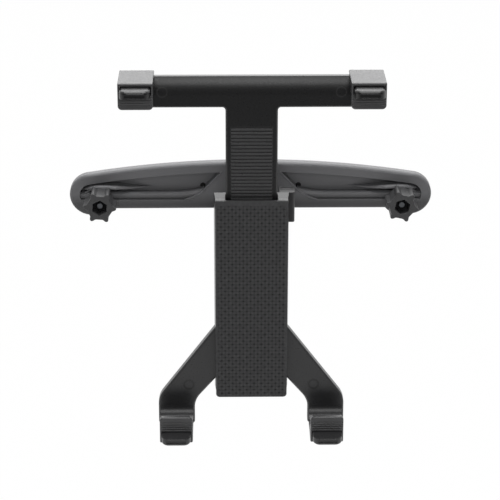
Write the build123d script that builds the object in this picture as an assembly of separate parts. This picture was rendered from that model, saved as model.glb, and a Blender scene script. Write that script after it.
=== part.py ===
from build123d import *
from typing import NamedTuple
import math
import os

os.makedirs("parts", exist_ok=True)

# Headrest tablet mount, millimetres.
# X runs to the viewer's right, Y away from the viewer, Z up.
# The origin is midway between the two headrest posts, at the height of the clamp bolts.

# Shared clearances
SLIDE_GAP = 0.3
PIN_GAP = 0.05
SEAT_GAP = 0.15

# Reach of a cut past the face it opens, and how near counts as touching
CUT_OVER = 1.0
TOUCH = 0.01

# Column that carries the tablet
PANEL_FRONT_Y = -52.0
HOUSING_WIDTH = 40.0
HOUSING_TOP_Z = 11.5
HOUSING_BOTTOM_Z = -107.5
HOUSING_DEPTH = 12.0
HOUSING_CORNER = 2.0
HOUSING_DRAFT = 0.7
MOUTH_DEPTH = 6.0
MOUTH_WALL = 0.5
PANEL_THICK = 1.2
WEAVE_PITCH = 4.0
WEAVE_GROOVE = 1.0
WEAVE_DEPTH = 0.35
SHELL_SPLIT_DEPTH = 4.5

# T-shaped slide
STEM_WIDTH = 28.2
STEM_THICK = 5.0
STEM_SET_BACK = 4.6
STEM_INSERT = 42.0
SLIDE_DROP = 48.0
SLIDE_SPARE = 2.0
STEM_BEVEL = 0.8
CROSSBAR_BOTTOM_Z = 63.5
CROSSBAR_TOP_Z = 80.5
CROSSBAR_END_GAP = 0.6
CROSSBAR_FLAT = 7.0
CROSSBAR_LEAN = 2.2
T_FILLET = 1.8
RIB_TOP_Z = 52.0
RIB_PITCH = 2.0
RIB_COUNT = 41
RIB_WIDTH = 22.6
RIB_GROOVE = 0.9
RIB_DEPTH = 0.5
RACK_GROOVE = 1.0
RACK_DEPTH = 0.8
RACK_X0 = 1.0
RACK_X1 = 9.0

# Claws and the tongues that they slide on
CLAW_WIDTH = 18.6
CLAW_HEIGHT = 14.6
CLAW_FRONT_Y = -64.5
CLAW_BACK_Y = -39.5
CLAW_WALL = 1.5
CLAW_SIDE = 0.9
CLAW_FLOOR = 1.0
CLAW_LIP = 2.6
CLAW_CORNER = 2.2
CLAW_SLEEVE = 9.5
CLAW_EDGE = 0.8
CLAW_TRAVEL = 7.0
CLAW_RIBS = 4
CLAW_RIB_PITCH = 1.4
CLAW_RIB_START = 0.2
CLAW_RIB_DEPTH = 0.25
CLAW_PAD_THICK = 1.0
UPPER_CLAW_X = 61.6
LOWER_CLAW_X = 42.6
TONGUE_THICK = 4.3
TONGUE_NOSE = 2.0
TONGUE_EDGE = 1.6
TONGUE_CORNER = 4.0
TONGUE_SCOOP_WIDTH = 11.0
TONGUE_SCOOP_DEPTH = 0.8
TONGUE_SCOOP_WALL = 0.6
UPPER_FLARE = 3.0
LOWER_FLARE = 8.0
LOWER_CLAW_OUTER_Z = -130.1
LOWER_CLAW_WALL = 2.2
LOWER_CLAW_HEIGHT = 15.9

# Splayed legs
LEG_THICK = 5.0
LEG_BACK_INSET = 1.0
LEG_ROOT_TOP_Z = -65.0
LEG_ROOT_BITE = 1.0
LEG_KNEE_Z = -110.5
LEG_KNEE_STEP = 2.0
LEG_KNEE_ROUND = 13.0
LEG_FOOT_WIDTH = 20.6
LEG_FOOT_ROUND = 2.0
LEG_BEVEL = 0.8
LEG_CROTCH_Z = -97.0

# Bracket across the posts
BRACKET_HALF = 101.8
BRACKET_FRONT_Y = -16.0
BRACKET_REAR_Y = -7.5
BRACKET_RIM_DEPTH = 5.5
BRACKET_REAR_DROP = 3.0
BRACKET_TOP_Z = 21.05
BRACKET_SHOULDER_INSET = 9.3
BRACKET_SHOULDER_Z = 13.55
BRACKET_END_Z = -0.5
BRACKET_BOTTOM_Z = -6.7
BRACKET_TOE_INSET = 11.8
BRACKET_LOBE_RADIUS = 10.6
BRACKET_RIM = 5.7
RIM_ROUND = 1.6
WEB_THICK = 2.5
RAIL_TOP_Z = -1.3
BEAD_TOP_Z = 2.8
BEAD_SET_BACK = 1.5
BEAD_ROUND = 2.2
BEAD_GROOVE = 0.7
BEAD_GROOVE_DEPTH = 0.9
LEDGE_Z = 5.5
LEDGE_WIDTH = 1.3
LEDGE_SET_BACK = 2.5
LEDGE_INSET = 43.8
LEDGE_RUN = 12.0
LEDGE_HOOK_BEYOND = 10.2
LEDGE_HOOK_Z = 1.8
LEDGE_BEND_BEYOND = 5.2
LEDGE_BEND_Z = 4.9
BOSS_TOP_HALF = 16.8
BOSS_FOOT_HALF = 28.5
BOSS_HOLE_RADIUS = 1.6
BOSS_HOLE_RISE = 2.5
BOLT_INSET = 17.5
KNOB_POCKET_RADIUS = 4.3
KNOB_POCKET_FLOOR_Y = -12.0

# Posts and the clamp behind them
POST_DIAMETER = 12.0
PAD_THICK = 1.5
PAD_LENGTH = 64.0
PAD_HEIGHT = 8.5
PAD_CORNER = 2.0
PAD_BOLT_GAP = 6.3
CLAMP_MIDDLE_Z = -2.2
CLAMP_BEYOND_BOLT = 6.0
CLAMP_HEIGHT = 11.6
CLAMP_END_FLAT = 1.0
CLAMP_THICK = 6.0
CLAMP_EDGE = 1.0
CLAMP_RIB = 3.0
CLAMP_POCKETS = 4
CLAMP_POCKET_DEPTH = 3.5
CLAMP_POCKET_CORNER = 1.5

# Clamp bolts and knobs
BOLT_RADIUS = 2.0
BOLT_HEAD_RADIUS = 3.4
BOLT_HEAD_HEIGHT = 2.4
BOLT_HEAD_ROUND = 1.4
BOLT_TIP_BEVEL = 0.4
BOLT_STANDOUT = 3.0
KNOB_FRONT_Y = -32.0
KNOB_HEIGHT = 11.5
KNOB_LOBES = 6
KNOB_CORNER_RADIUS = 8.1
KNOB_BUMP_RADIUS = 1.45
KNOB_EDGE = 0.6
KNOB_TURN_LEFT = -4.0
KNOB_TURN_RIGHT = -12.0
NUT_ACROSS = 7.4
NUT_THICK = 3.2
NUT_BACK_DEPTH = 9.6
SPACER_RADIUS = 6.8
SPACER_FLANGE = 2.0
SPACER_HUB_RADIUS = 4.0

# Tilt joint and swivel
SWIVEL_Z = -10.0
TILT_Y = -24.0
BARREL_RADIUS = 5.5
BARREL_HALF = 6.0
KNUCKLE_WEB_INSET = 0.5
EAR_THICK = 4.7
EAR_RADIUS = 5.2
TILT_BOLT_RADIUS = 2.5
TILT_HEAD_RADIUS = 4.3
TILT_HEAD_HEIGHT = 3.0
TILT_NUT_ACROSS = 8.0
TILT_NUT_THICK = 4.0
HUB_RADIUS = 8.5
HUB_END_Y = -33.5
HUB_WALL = 3.0
HUB_POCKET_RADIUS = 6.6
FLANGE_RADIUS = 9.0
FLANGE_THICK = 3.5
SPIGOT_RADIUS = 4.0
RETAINER_RADIUS = 6.2
RETAINER_THICK = 2.4
SCREW_RADIUS = 1.5
SCREW_HEAD_RADIUS = 2.8
SCREW_HEAD_HEIGHT = 1.6
SCREW_LENGTH = 8.0

# Release lever
LEVER_PIVOT_X = 12.0
LEVER_PIVOT_Y = -36.5
LEVER_PIN_RADIUS = 1.0
LEVER_BARREL_RADIUS = 2.3
LEVER_ARM_X = 2.6
LEVER_ARM_BOTTOM_Z = 1.0
LEVER_ARM_TOP_Z = 9.0
LEVER_FRONT_GAP = 1.4
LEVER_ARM_THICK = 4.2
PADDLE_X0 = 15.5
PADDLE_X1 = 24.0
PADDLE_BOTTOM_Z = -6.0
PADDLE_BACK_Y = -29.6
PADDLE_ROUND = 1.5
PADDLE_WALL = 0.8
PADDLE_POCKET = 7.0
PAWL_WIDTH = 3.4
PAWL_TOOTH = 0.6
PAWL_TIP_GAP = 0.25
PAWL_Z = 4.0
PAWL_TEETH = 2
PAWL_ROOM = 1.0
LUG_HALF = 2.4
LUG_BACK_Y = -34.0
SPRING_WIRE = 0.6
SPRING_LENGTH = 2.6

# Screws that join the column's shells
COVER_SCREW_RADIUS = 1.2
COVER_SCREW_HEAD = 2.2
COVER_SCREW_HEAD_HEIGHT = 1.4
COVER_SCREW_INSET = 2.8
COVER_SCREW_Z = (-28.0, -101.0)
COVER_SCREW_BITE = 2.2

# Places worked out from the sizes above
housing_half = HOUSING_WIDTH / 2
panel_back_y = PANEL_FRONT_Y + PANEL_THICK
split_y = PANEL_FRONT_Y + SHELL_SPLIT_DEPTH
stem_front_y = PANEL_FRONT_Y + STEM_SET_BACK
stem_back_y = stem_front_y + STEM_THICK
housing_back_y = PANEL_FRONT_Y + HOUSING_DEPTH
cavity_half = STEM_WIDTH / 2 + SLIDE_GAP
cavity_back_y = stem_back_y + SLIDE_GAP
stem_bottom_z = HOUSING_TOP_Z - STEM_INSERT
cavity_bottom_z = stem_bottom_z - SLIDE_DROP - SLIDE_SPARE
tongue_front_y = CLAW_FRONT_Y - CLAW_TRAVEL - TONGUE_NOSE
tongue_half = CLAW_WIDTH / 2 - CLAW_SIDE - SLIDE_GAP
upper_claw_outer_z = CROSSBAR_TOP_Z + SLIDE_GAP + CLAW_WALL
crossbar_half = UPPER_CLAW_X + CLAW_WIDTH / 2 - CROSSBAR_END_GAP
leg_back_y = housing_back_y - LEG_BACK_INSET
leg_front_y = leg_back_y - LEG_THICK
tongue_outer_z = LOWER_CLAW_OUTER_Z + LOWER_CLAW_WALL + SLIDE_GAP
shoulder_x = BRACKET_HALF - BRACKET_SHOULDER_INSET
toe_x = BRACKET_HALF - BRACKET_TOE_INSET
ledge_x = BRACKET_HALF - LEDGE_INSET
bolt_x = BRACKET_HALF - BOLT_INSET
rim_back_y = BRACKET_FRONT_Y + BRACKET_RIM_DEPTH
web_y = BRACKET_REAR_Y - WEB_THICK
recess_top_z = BRACKET_TOP_Z - BRACKET_RIM
ear_half = BARREL_HALF + SLIDE_GAP + EAR_THICK
clamp_half = bolt_x + CLAMP_BEYOND_BOLT
cover_screw_x = housing_half - COVER_SCREW_INSET
pad_outer_x = bolt_x - BOLT_RADIUS - PAD_BOLT_GAP
knob_back_y = KNOB_FRONT_Y + KNOB_HEIGHT
clamp_front_y = POST_DIAMETER / 2 + PAD_THICK
clamp_back_y = clamp_front_y + CLAMP_THICK
nut_back_y = KNOB_FRONT_Y + NUT_BACK_DEPTH
bolt_tip_y = nut_back_y - NUT_THICK - BOLT_STANDOUT
hub_floor_y = HUB_END_Y - HUB_WALL
flange_front_y = HUB_END_Y + SLIDE_GAP
retainer_back_y = hub_floor_y - SLIDE_GAP
lever_front_y = housing_back_y + LEVER_FRONT_GAP
lever_arm_back_y = lever_front_y + LEVER_ARM_THICK
rack_zs = [RIB_TOP_Z - RIB_PITCH * i for i in range(RIB_COUNT)]


def block(x0, x1, y0, y1, z0, z1):
    """Box between two corners."""
    return Pos((x0 + x1) / 2, (y0 + y1) / 2, (z0 + z1) / 2) * Box(x1 - x0, y1 - y0, z1 - z0)


def prism_y(sketch, y0, y1):
    """Sketch in X and Z, carried from y0 to y1."""
    return extrude(Plane.XZ.offset(-y1) * sketch, amount=y1 - y0, dir=(0, -1, 0))


def prism_x(sketch, x0, x1):
    """Sketch in Y and Z, carried from x0 to x1."""
    return extrude(Plane.YZ.offset(x0) * sketch, amount=x1 - x0, dir=(1, 0, 0))


def prism_z(sketch, z0, z1):
    """Sketch in X and Y, carried from z0 to z1."""
    return extrude(Plane.XY.offset(z0) * sketch, amount=z1 - z0, dir=(0, 0, 1))


def rod_x(radius, x0, x1, y, z):
    """Round bar along X."""
    return prism_x(Pos(y, z) * Circle(radius), x0, x1)


def rod_y(radius, y0, y1, x, z):
    """Round bar along Y."""
    return prism_y(Pos(x, z) * Circle(radius), y0, y1)


def rod_z(radius, z0, z1, x, y):
    """Round bar along Z."""
    return prism_z(Pos(x, y) * Circle(radius), z0, z1)


def hexagon(across):
    """Regular hexagon by its width across flats, with corners at the top and bottom."""
    return Rot(0, 0, 90) * RegularPolygon(across / math.sqrt(3), 6)


def mirrored(shape):
    """The same shape on the other side of the middle plane."""
    return mirror(shape, about=Plane.YZ)


def both(shape):
    """A shape and its mirror image."""
    return shape + mirrored(shape)


def save(shape, name):
    """Write one piece to its own STEP file."""
    export_step(shape, f"parts/{name}.step")


def column_outline():
    """Front view of the column, with rounded lower corners."""
    middle = (HOUSING_TOP_Z + HOUSING_BOTTOM_Z) / 2
    face = Pos(0, middle) * Rectangle(HOUSING_WIDTH, HOUSING_TOP_Z - HOUSING_BOTTOM_Z)
    return fillet(face.vertices().sort_by(Axis.Y)[:2], HOUSING_CORNER)


def grip_panel():
    """Front face of the column, ridged across like a woven strip."""
    panel = prism_y(column_outline(), PANEL_FRONT_Y, panel_back_y)
    reach = housing_half + CUT_OVER
    count = int((HOUSING_TOP_Z - HOUSING_BOTTOM_Z) / WEAVE_PITCH)
    for row in range(1, count):
        z = HOUSING_TOP_Z - row * WEAVE_PITCH
        panel -= block(-reach, reach, PANEL_FRONT_Y - CUT_OVER, PANEL_FRONT_Y + WEAVE_DEPTH,
                       z - WEAVE_GROOVE / 2, z + WEAVE_GROOVE / 2)
    return panel


def cover_screw_places():
    """X and Z of each screw that joins the shells."""
    return [(side * cover_screw_x, z) for side in (-1, 1) for z in COVER_SCREW_Z]


def cradle_front():
    """Front shell: a thick plate behind the grip panel, open at its mouth, with blind screw holes."""
    shell = prism_y(column_outline(), panel_back_y, split_y)
    open_z = HOUSING_TOP_Z + CUT_OVER
    shell -= block(-cavity_half, cavity_half, stem_front_y - SLIDE_GAP, split_y + CUT_OVER,
                   cavity_bottom_z, open_z)
    shell -= block(-cavity_half, cavity_half, panel_back_y + MOUTH_WALL, split_y + CUT_OVER,
                   HOUSING_TOP_Z - MOUTH_DEPTH, open_z)
    for x, z in cover_screw_places():
        shell -= rod_y(COVER_SCREW_RADIUS + PIN_GAP, split_y - COVER_SCREW_BITE, split_y + CUT_OVER, x, z)
    return shell


def rear_block():
    """Rear half of the column before it is hollowed, drafted so that it widens to the back."""
    depth = housing_back_y - split_y
    wide = offset(column_outline(), HOUSING_DRAFT, kind=Kind.INTERSECTION)
    draft = math.degrees(math.atan(HOUSING_DRAFT / depth))
    return extrude(Plane.XZ.offset(-housing_back_y) * wide, amount=depth, taper=draft)


def leg_outline():
    """Front view of the right leg: out from the column, then straight down to the foot."""
    outer = LOWER_CLAW_X + LEG_FOOT_WIDTH / 2
    inner = LOWER_CLAW_X - LEG_FOOT_WIDTH / 2
    root = housing_half - LEG_ROOT_BITE
    inner_knee_z = LEG_KNEE_Z - LEG_KNEE_STEP
    points = [(root, LEG_ROOT_TOP_Z), (outer, LEG_KNEE_Z), (outer, tongue_outer_z),
              (inner, tongue_outer_z), (inner, inner_knee_z), (root, LEG_CROTCH_Z)]
    face = Polygon(*points, align=None)
    knees = [v for v in face.vertices() if inner_knee_z - TOUCH < v.Y < LEG_KNEE_Z + TOUCH]
    face = fillet(knees, LEG_KNEE_ROUND)
    return fillet(face.vertices().sort_by(Axis.Y)[:2], LEG_FOOT_ROUND)


def tongue_plan(x, y0):
    """Plan of a tongue, with its two front corners rounded."""
    face = Pos(x, (tongue_front_y + y0) / 2) * Rectangle(2 * tongue_half, y0 - tongue_front_y)
    return fillet(face.vertices().sort_by(Axis.Y)[:2], TONGUE_CORNER)


def tongue(x, outer_z, side, root_front_y, root_back_y, flare, flare_half):
    """Forward tongue with a concave flare at its root and a finger scoop in its nose.

    side is 1 where the outer face is on top and -1 where it is underneath.
    """
    inner_z = outer_z - side * TONGUE_THICK
    low, high = sorted((outer_z, inner_z))
    bar = prism_z(tongue_plan(x, root_back_y), low, high)
    nose = [e for e in bar.edges() if e.center().Y < root_front_y and abs(e.center().Z - outer_z) < TOUCH]
    bar = fillet(nose, TONGUE_EDGE)
    corner = (root_front_y, inner_z)
    reach = (root_front_y - flare, inner_z)
    rise = (root_front_y, inner_z - side * flare)
    hollow = flare * (1 - math.sqrt(0.5))
    arc = ThreePointArc(reach, (root_front_y - hollow, inner_z - side * hollow), rise)
    web = make_face(Line(corner, reach) + arc + Line(rise, corner))
    bar += prism_x(web, x - flare_half, x + flare_half)
    scoop_z = sorted((outer_z - side * TONGUE_EDGE, inner_z + side * TONGUE_SCOOP_WALL))
    half = TONGUE_SCOOP_WIDTH / 2
    return bar - block(x - half, x + half, tongue_front_y - CUT_OVER, tongue_front_y + TONGUE_SCOOP_DEPTH,
                       *scoop_z)


def leg():
    """Right leg: bevelled front edges, and a tongue that flares out of the foot at its full width."""
    limb = prism_y(leg_outline(), leg_front_y, leg_back_y)
    upright = [e for e in limb.edges().filter_by(Axis.Z)
               if abs(e.center().Y - leg_front_y) < TOUCH and e.center().X > housing_half]
    limb = chamfer(upright, LEG_BEVEL)
    flare_half = LEG_FOOT_WIDTH / 2 - LEG_BEVEL
    return limb + tongue(LOWER_CLAW_X, tongue_outer_z, -1, leg_front_y, leg_back_y, LOWER_FLARE, flare_half)


def lever_lugs():
    """Two ears behind the column that carry the release lever's pin."""
    x0, x1 = LEVER_PIVOT_X - LUG_HALF, LEVER_PIVOT_X + LUG_HALF
    lower = block(x0, x1, housing_back_y, LUG_BACK_Y,
                  LEVER_ARM_BOTTOM_Z - SLIDE_GAP - LUG_HALF, LEVER_ARM_BOTTOM_Z - SLIDE_GAP)
    upper = block(x0, x1, housing_back_y, LUG_BACK_Y, LEVER_ARM_TOP_Z + SLIDE_GAP, HOUSING_TOP_Z)
    return lower + upper


def cradle_back():
    """Rear shell: a tray for the slide, the swivel hub, the lever's ears and both legs."""
    shell = rear_block()
    shell += rod_y(HUB_RADIUS, housing_back_y, HUB_END_Y, 0, SWIVEL_Z)
    shell += lever_lugs()
    shell += both(leg())
    shell -= block(-cavity_half, cavity_half, split_y - CUT_OVER, cavity_back_y,
                   cavity_bottom_z, HOUSING_TOP_Z + HOUSING_DRAFT + CUT_OVER)
    shell -= rod_y(HUB_POCKET_RADIUS, cavity_back_y - CUT_OVER, hub_floor_y, 0, SWIVEL_Z)
    shell -= rod_y(SPIGOT_RADIUS + PIN_GAP, hub_floor_y - CUT_OVER, HUB_END_Y + CUT_OVER, 0, SWIVEL_Z)
    pawl_low = PAWL_Z - (PAWL_TEETH - 1) * RIB_PITCH
    shell -= block(LEVER_ARM_X - PAWL_ROOM, LEVER_ARM_X + PAWL_WIDTH + PAWL_ROOM, cavity_back_y - CUT_OVER,
                   housing_back_y + CUT_OVER, pawl_low - RIB_PITCH, PAWL_Z + RIB_PITCH)
    pin_low = LEVER_ARM_BOTTOM_Z - SLIDE_GAP - LUG_HALF
    shell -= rod_z(LEVER_PIN_RADIUS, pin_low - CUT_OVER, HOUSING_TOP_Z + CUT_OVER,
                   LEVER_PIVOT_X, LEVER_PIVOT_Y)
    open_y = housing_back_y + CUT_OVER
    for x, z in cover_screw_places():
        shell -= rod_y(COVER_SCREW_RADIUS + PIN_GAP, split_y - CUT_OVER, open_y, x, z)
        shell -= rod_y(COVER_SCREW_HEAD + SEAT_GAP, housing_back_y - COVER_SCREW_HEAD_HEIGHT, open_y, x, z)
    return shell


def cover_screws():
    """Four countersunk-flush screws, as separate solids in one group."""
    screws = []
    for x, z in cover_screw_places():
        head_y = housing_back_y - COVER_SCREW_HEAD_HEIGHT
        shank = rod_y(COVER_SCREW_RADIUS, split_y - COVER_SCREW_BITE + SEAT_GAP, head_y, x, z)
        head = rod_y(COVER_SCREW_HEAD, head_y, housing_back_y - SEAT_GAP, x, z)
        screws.append(shank + head)
    return Compound(children=screws)


def slide_outline():
    """Front view of the T, with its inner corners rounded."""
    middle = (CROSSBAR_TOP_Z + CROSSBAR_BOTTOM_Z) / 2
    face = Pos(0, middle) * Rectangle(2 * crossbar_half, CROSSBAR_TOP_Z - CROSSBAR_BOTTOM_Z)
    stem_middle = (stem_bottom_z + CROSSBAR_BOTTOM_Z) / 2
    face += Pos(0, stem_middle) * Rectangle(STEM_WIDTH, CROSSBAR_BOTTOM_Z - stem_bottom_z)
    inner = [v for v in face.vertices() if abs(v.Y - CROSSBAR_BOTTOM_Z) < TOUCH and abs(v.X) < STEM_WIDTH]
    return fillet(inner, T_FILLET)


def crossbar_lean():
    """What the crossbar loses above its flat band, where its front curves back to the top."""
    start = (stem_front_y, CROSSBAR_BOTTOM_Z + CROSSBAR_FLAT)
    end = (stem_front_y + CROSSBAR_LEAN, CROSSBAR_TOP_Z)
    over = (end[0], CROSSBAR_TOP_Z + CUT_OVER)
    far_top = (stem_front_y - CUT_OVER, over[1])
    far_low = (far_top[0], start[1])
    edges = TangentArc(start, end, tangent=(0, 1))
    edges += Line(end, over) + Line(over, far_top) + Line(far_top, far_low) + Line(far_low, start)
    return prism_x(make_face(edges), -crossbar_half - CUT_OVER, crossbar_half + CUT_OVER)


def slide_bar():
    """T-shaped slide: ribbed stem, crossbar and a forward tongue at each end."""
    bar = prism_y(slide_outline(), stem_front_y, stem_back_y)
    sides = [e for e in bar.edges().filter_by(Axis.Z) if abs(e.center().Y - stem_front_y) < TOUCH
             and e.center().Z < CROSSBAR_BOTTOM_Z]
    bar = chamfer(sides, STEM_BEVEL) - crossbar_lean()
    for z in rack_zs:
        bar -= block(-RIB_WIDTH / 2, RIB_WIDTH / 2, stem_front_y - CUT_OVER, stem_front_y + RIB_DEPTH,
                     z - RIB_GROOVE / 2, z + RIB_GROOVE / 2)
        bar -= block(RACK_X0, RACK_X1, stem_back_y - RACK_DEPTH, stem_back_y + CUT_OVER,
                     z - RACK_GROOVE / 2, z + RACK_GROOVE / 2)
    arm = tongue(UPPER_CLAW_X, CROSSBAR_TOP_Z, 1, stem_front_y, stem_back_y, UPPER_FLARE, tongue_half)
    return bar + both(arm)


class ClawRow(NamedTuple):
    """Place and sizes of one row of claws; side is 1 for the upper row and -1 for the lower."""

    x: float
    outer_z: float
    side: int
    wall: float
    height: float

    def channel(self):
        """Top and bottom of the channel for the tongue, from the claw's outer face at 0."""
        return -self.wall, -self.wall - TONGUE_THICK - 2 * SLIDE_GAP

    def place(self, shape, hand):
        """Move a piece drawn at the claw's own corner to the tongue on one hand."""
        if self.side < 0:
            shape = mirror(shape, about=Plane.XY)
        return Pos(hand * self.x, 0, self.outer_z) * shape


def claw(row, hand):
    """Claw that slides on a tongue: a sleeve, a ribbed lip and a long outer wall."""
    half = CLAW_WIDTH / 2
    inner = half - CLAW_SIDE
    channel_top, channel_bottom = row.channel()
    sleeve_back = CLAW_FRONT_Y + CLAW_SLEEVE
    open_y = CLAW_FRONT_Y - CUT_OVER
    front = Pos(0, -row.height / 2) * Rectangle(CLAW_WIDTH, row.height)
    front = fillet(front.vertices().sort_by(Axis.Y)[:2], CLAW_CORNER)
    body = prism_y(front, CLAW_FRONT_Y, CLAW_FRONT_Y + CLAW_LIP)
    body += block(-half, half, CLAW_FRONT_Y, sleeve_back, channel_bottom - CLAW_FLOOR, 0)
    body += block(-half, half, CLAW_FRONT_Y, CLAW_BACK_Y, channel_top, 0)
    soft = [e for e in body.edges() if abs(e.center().Z) < TOUCH or abs(e.center().Y - CLAW_FRONT_Y) < TOUCH]
    body = fillet(soft, CLAW_EDGE)
    body -= block(-inner, inner, open_y, sleeve_back + CUT_OVER, channel_bottom, channel_top)
    for rib in range(CLAW_RIBS):
        z = channel_bottom - CLAW_FLOOR - CLAW_RIB_START - rib * CLAW_RIB_PITCH
        body -= block(-half, half, open_y, CLAW_FRONT_Y + CLAW_RIB_DEPTH,
                      z - CLAW_RIB_PITCH / 4, z + CLAW_RIB_PITCH / 4)
    return row.place(body, hand)


def claw_pad(row, hand):
    """Rubber facing on the inside of a claw's lip."""
    pad_top = row.channel()[1] - CLAW_FLOOR - SEAT_GAP
    pad_bottom = CLAW_CORNER / 2 - row.height
    inner_y = CLAW_FRONT_Y + CLAW_LIP
    half = CLAW_WIDTH / 2 - CLAW_CORNER
    return row.place(block(-half, half, inner_y, inner_y + CLAW_PAD_THICK, pad_bottom, pad_top), hand)


def crescent_edges():
    """Arched top and both round ends of the bracket, as seen from the front."""
    shoulder, toe = (shoulder_x, BRACKET_SHOULDER_Z), (toe_x, -BRACKET_LOBE_RADIUS)
    top = ThreePointArc((-shoulder_x, BRACKET_SHOULDER_Z), (0, BRACKET_TOP_Z), shoulder)
    return top + both(ThreePointArc(shoulder, (BRACKET_HALF, BRACKET_END_Z), toe))


def bracket_outline():
    """Front view of the bracket: the crescent, a lobe under each bolt and a flat middle."""
    waist_angle = math.asin(-BRACKET_BOTTOM_Z / BRACKET_LOBE_RADIUS)
    angles = (math.pi / 2, (math.pi / 2 + waist_angle) / 2, waist_angle)
    radius = BRACKET_LOBE_RADIUS
    foot, middle, waist = [(bolt_x - radius * math.cos(angle), -radius * math.sin(angle)) for angle in angles]
    lobe = Line((toe_x, -radius), foot) + ThreePointArc(foot, middle, waist)
    return make_face(crescent_edges() + both(lobe) + Line(waist, (-waist[0], waist[1])))


def boss_edge_x(z):
    """Half width of the middle boss at a height, along its slanted edge."""
    slope = (BOSS_FOOT_HALF - BOSS_TOP_HALF) / (recess_top_z - BEAD_TOP_Z)
    return BOSS_TOP_HALF + slope * (recess_top_z - z)


def right_recess(inset):
    """Front view of the right recess, from the rail up, inset from the bracket's arched edge."""
    toe_line = Line((toe_x, -BRACKET_LOBE_RADIUS), (-toe_x, -BRACKET_LOBE_RADIUS))
    inside = offset(make_face(crescent_edges() + toe_line), -inset, kind=Kind.INTERSECTION)
    top = BRACKET_TOP_Z
    window = Polygon((boss_edge_x(RAIL_TOP_Z), RAIL_TOP_Z), (BRACKET_HALF, RAIL_TOP_Z), (BRACKET_HALF, top),
                     (boss_edge_x(top), top), align=None)
    return inside & window


def bead():
    """Round-topped bead along the rail, with a groove under it, inside the right recess."""
    front = BRACKET_FRONT_Y + BEAD_SET_BACK
    groove_y = front + BEAD_GROOVE_DEPTH
    groove_z = RAIL_TOP_Z + BEAD_GROOVE
    hollow = BEAD_ROUND * (1 - math.sqrt(0.5))
    arc = ThreePointArc((front, BEAD_TOP_Z - BEAD_ROUND), (front + hollow, BEAD_TOP_Z - hollow),
                        (front + BEAD_ROUND, BEAD_TOP_Z))
    outline = Polyline((front + BEAD_ROUND, BEAD_TOP_Z), (web_y, BEAD_TOP_Z), (web_y, RAIL_TOP_Z),
                       (groove_y, RAIL_TOP_Z), (groove_y, groove_z), (front, groove_z),
                       (front, BEAD_TOP_Z - BEAD_ROUND))
    bar = prism_x(make_face(arc + outline), 0, BRACKET_HALF)
    return bar & prism_y(right_recess(BRACKET_RIM), BRACKET_FRONT_Y, web_y)


def end_ledge():
    """Thin ledge over the right bolt: it rises out of the web, runs level and hooks down at the end."""
    hook = (bolt_x + LEDGE_HOOK_BEYOND, LEDGE_HOOK_Z)
    bend = (bolt_x + LEDGE_BEND_BEYOND, LEDGE_BEND_Z)
    over_bolt, start = (bolt_x, LEDGE_Z), (ledge_x, LEDGE_Z)
    upper = ThreePointArc(hook, bend, over_bolt) + Line(over_bolt, start)
    lower = Pos(0, -LEDGE_WIDTH) * upper
    ends = [Line(point, (point[0], point[1] - LEDGE_WIDTH)) for point in (hook, start)]
    front = BRACKET_FRONT_Y + LEDGE_SET_BACK
    ramp = Polygon((ledge_x, web_y), (ledge_x + LEDGE_RUN, front), (ledge_x + LEDGE_RUN, front - CUT_OVER),
                   (ledge_x, front - CUT_OVER), align=None)
    strip = prism_y(make_face(upper + lower + ends), front, web_y)
    return strip - prism_z(ramp, BRACKET_BOTTOM_Z, BRACKET_TOP_Z)


def tilt_ears():
    """Two ears in front of the boss that hold the tilt bolt."""
    top, bottom = (TILT_Y, SWIVEL_Z + EAR_RADIUS), (TILT_Y, SWIVEL_Z - EAR_RADIUS)
    back_top, back_bottom = (web_y, SWIVEL_Z + 2 * EAR_RADIUS), (web_y, SWIVEL_Z - EAR_RADIUS)
    arc = ThreePointArc(top, (TILT_Y - EAR_RADIUS, SWIVEL_Z), bottom)
    edges = arc + Polyline(bottom, back_bottom, back_top, top)
    return both(prism_x(make_face(edges), ear_half - EAR_THICK, ear_half))


def bracket_shell():
    """Crescent bracket: rim, sunk web, rail and bead, end ledges, middle boss and tilt ears."""
    outline = bracket_outline()
    shell = prism_y(outline, BRACKET_FRONT_Y, rim_back_y)
    shell = fillet([e for e in shell.edges() if abs(e.center().Y - BRACKET_FRONT_Y) < TOUCH], RIM_ROUND)
    shell += prism_y(outline & (Pos(0, -BRACKET_REAR_DROP) * outline), rim_back_y, BRACKET_REAR_Y)
    open_y, through_y = BRACKET_FRONT_Y - CUT_OVER, BRACKET_REAR_Y + CUT_OVER
    shell -= both(prism_y(right_recess(BRACKET_RIM), open_y, web_y))
    shell += both(bead()) + both(end_ledge())
    hole_z = BEAD_TOP_Z + BOSS_HOLE_RISE
    holes = rod_y(KNOB_POCKET_RADIUS, open_y, KNOB_POCKET_FLOOR_Y, bolt_x, 0)
    holes += rod_y(BOLT_RADIUS + SLIDE_GAP, open_y, through_y, bolt_x, 0)
    holes += rod_y(BOSS_HOLE_RADIUS, open_y, through_y, boss_edge_x(hole_z) + BOSS_HOLE_RADIUS / 2, hole_z)
    shell -= both(holes)
    shell += block(-ear_half, ear_half, BRACKET_FRONT_Y + RIM_ROUND, BRACKET_REAR_Y,
                   SWIVEL_Z - EAR_RADIUS, BRACKET_BOTTOM_Z + RIM_ROUND)
    shell += tilt_ears()
    reach = ear_half + CUT_OVER
    return shell - rod_x(TILT_BOLT_RADIUS + PIN_GAP, -reach, reach, TILT_Y, SWIVEL_Z)


def post_pad(side, y0):
    """Rubber strip that meets a headrest post."""
    middle_x = side * (pad_outer_x - PAD_LENGTH / 2)
    face = Pos(middle_x, CLAMP_MIDDLE_Z) * RectangleRounded(PAD_LENGTH, PAD_HEIGHT, PAD_CORNER)
    return prism_y(face, y0, y0 + PAD_THICK)


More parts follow.
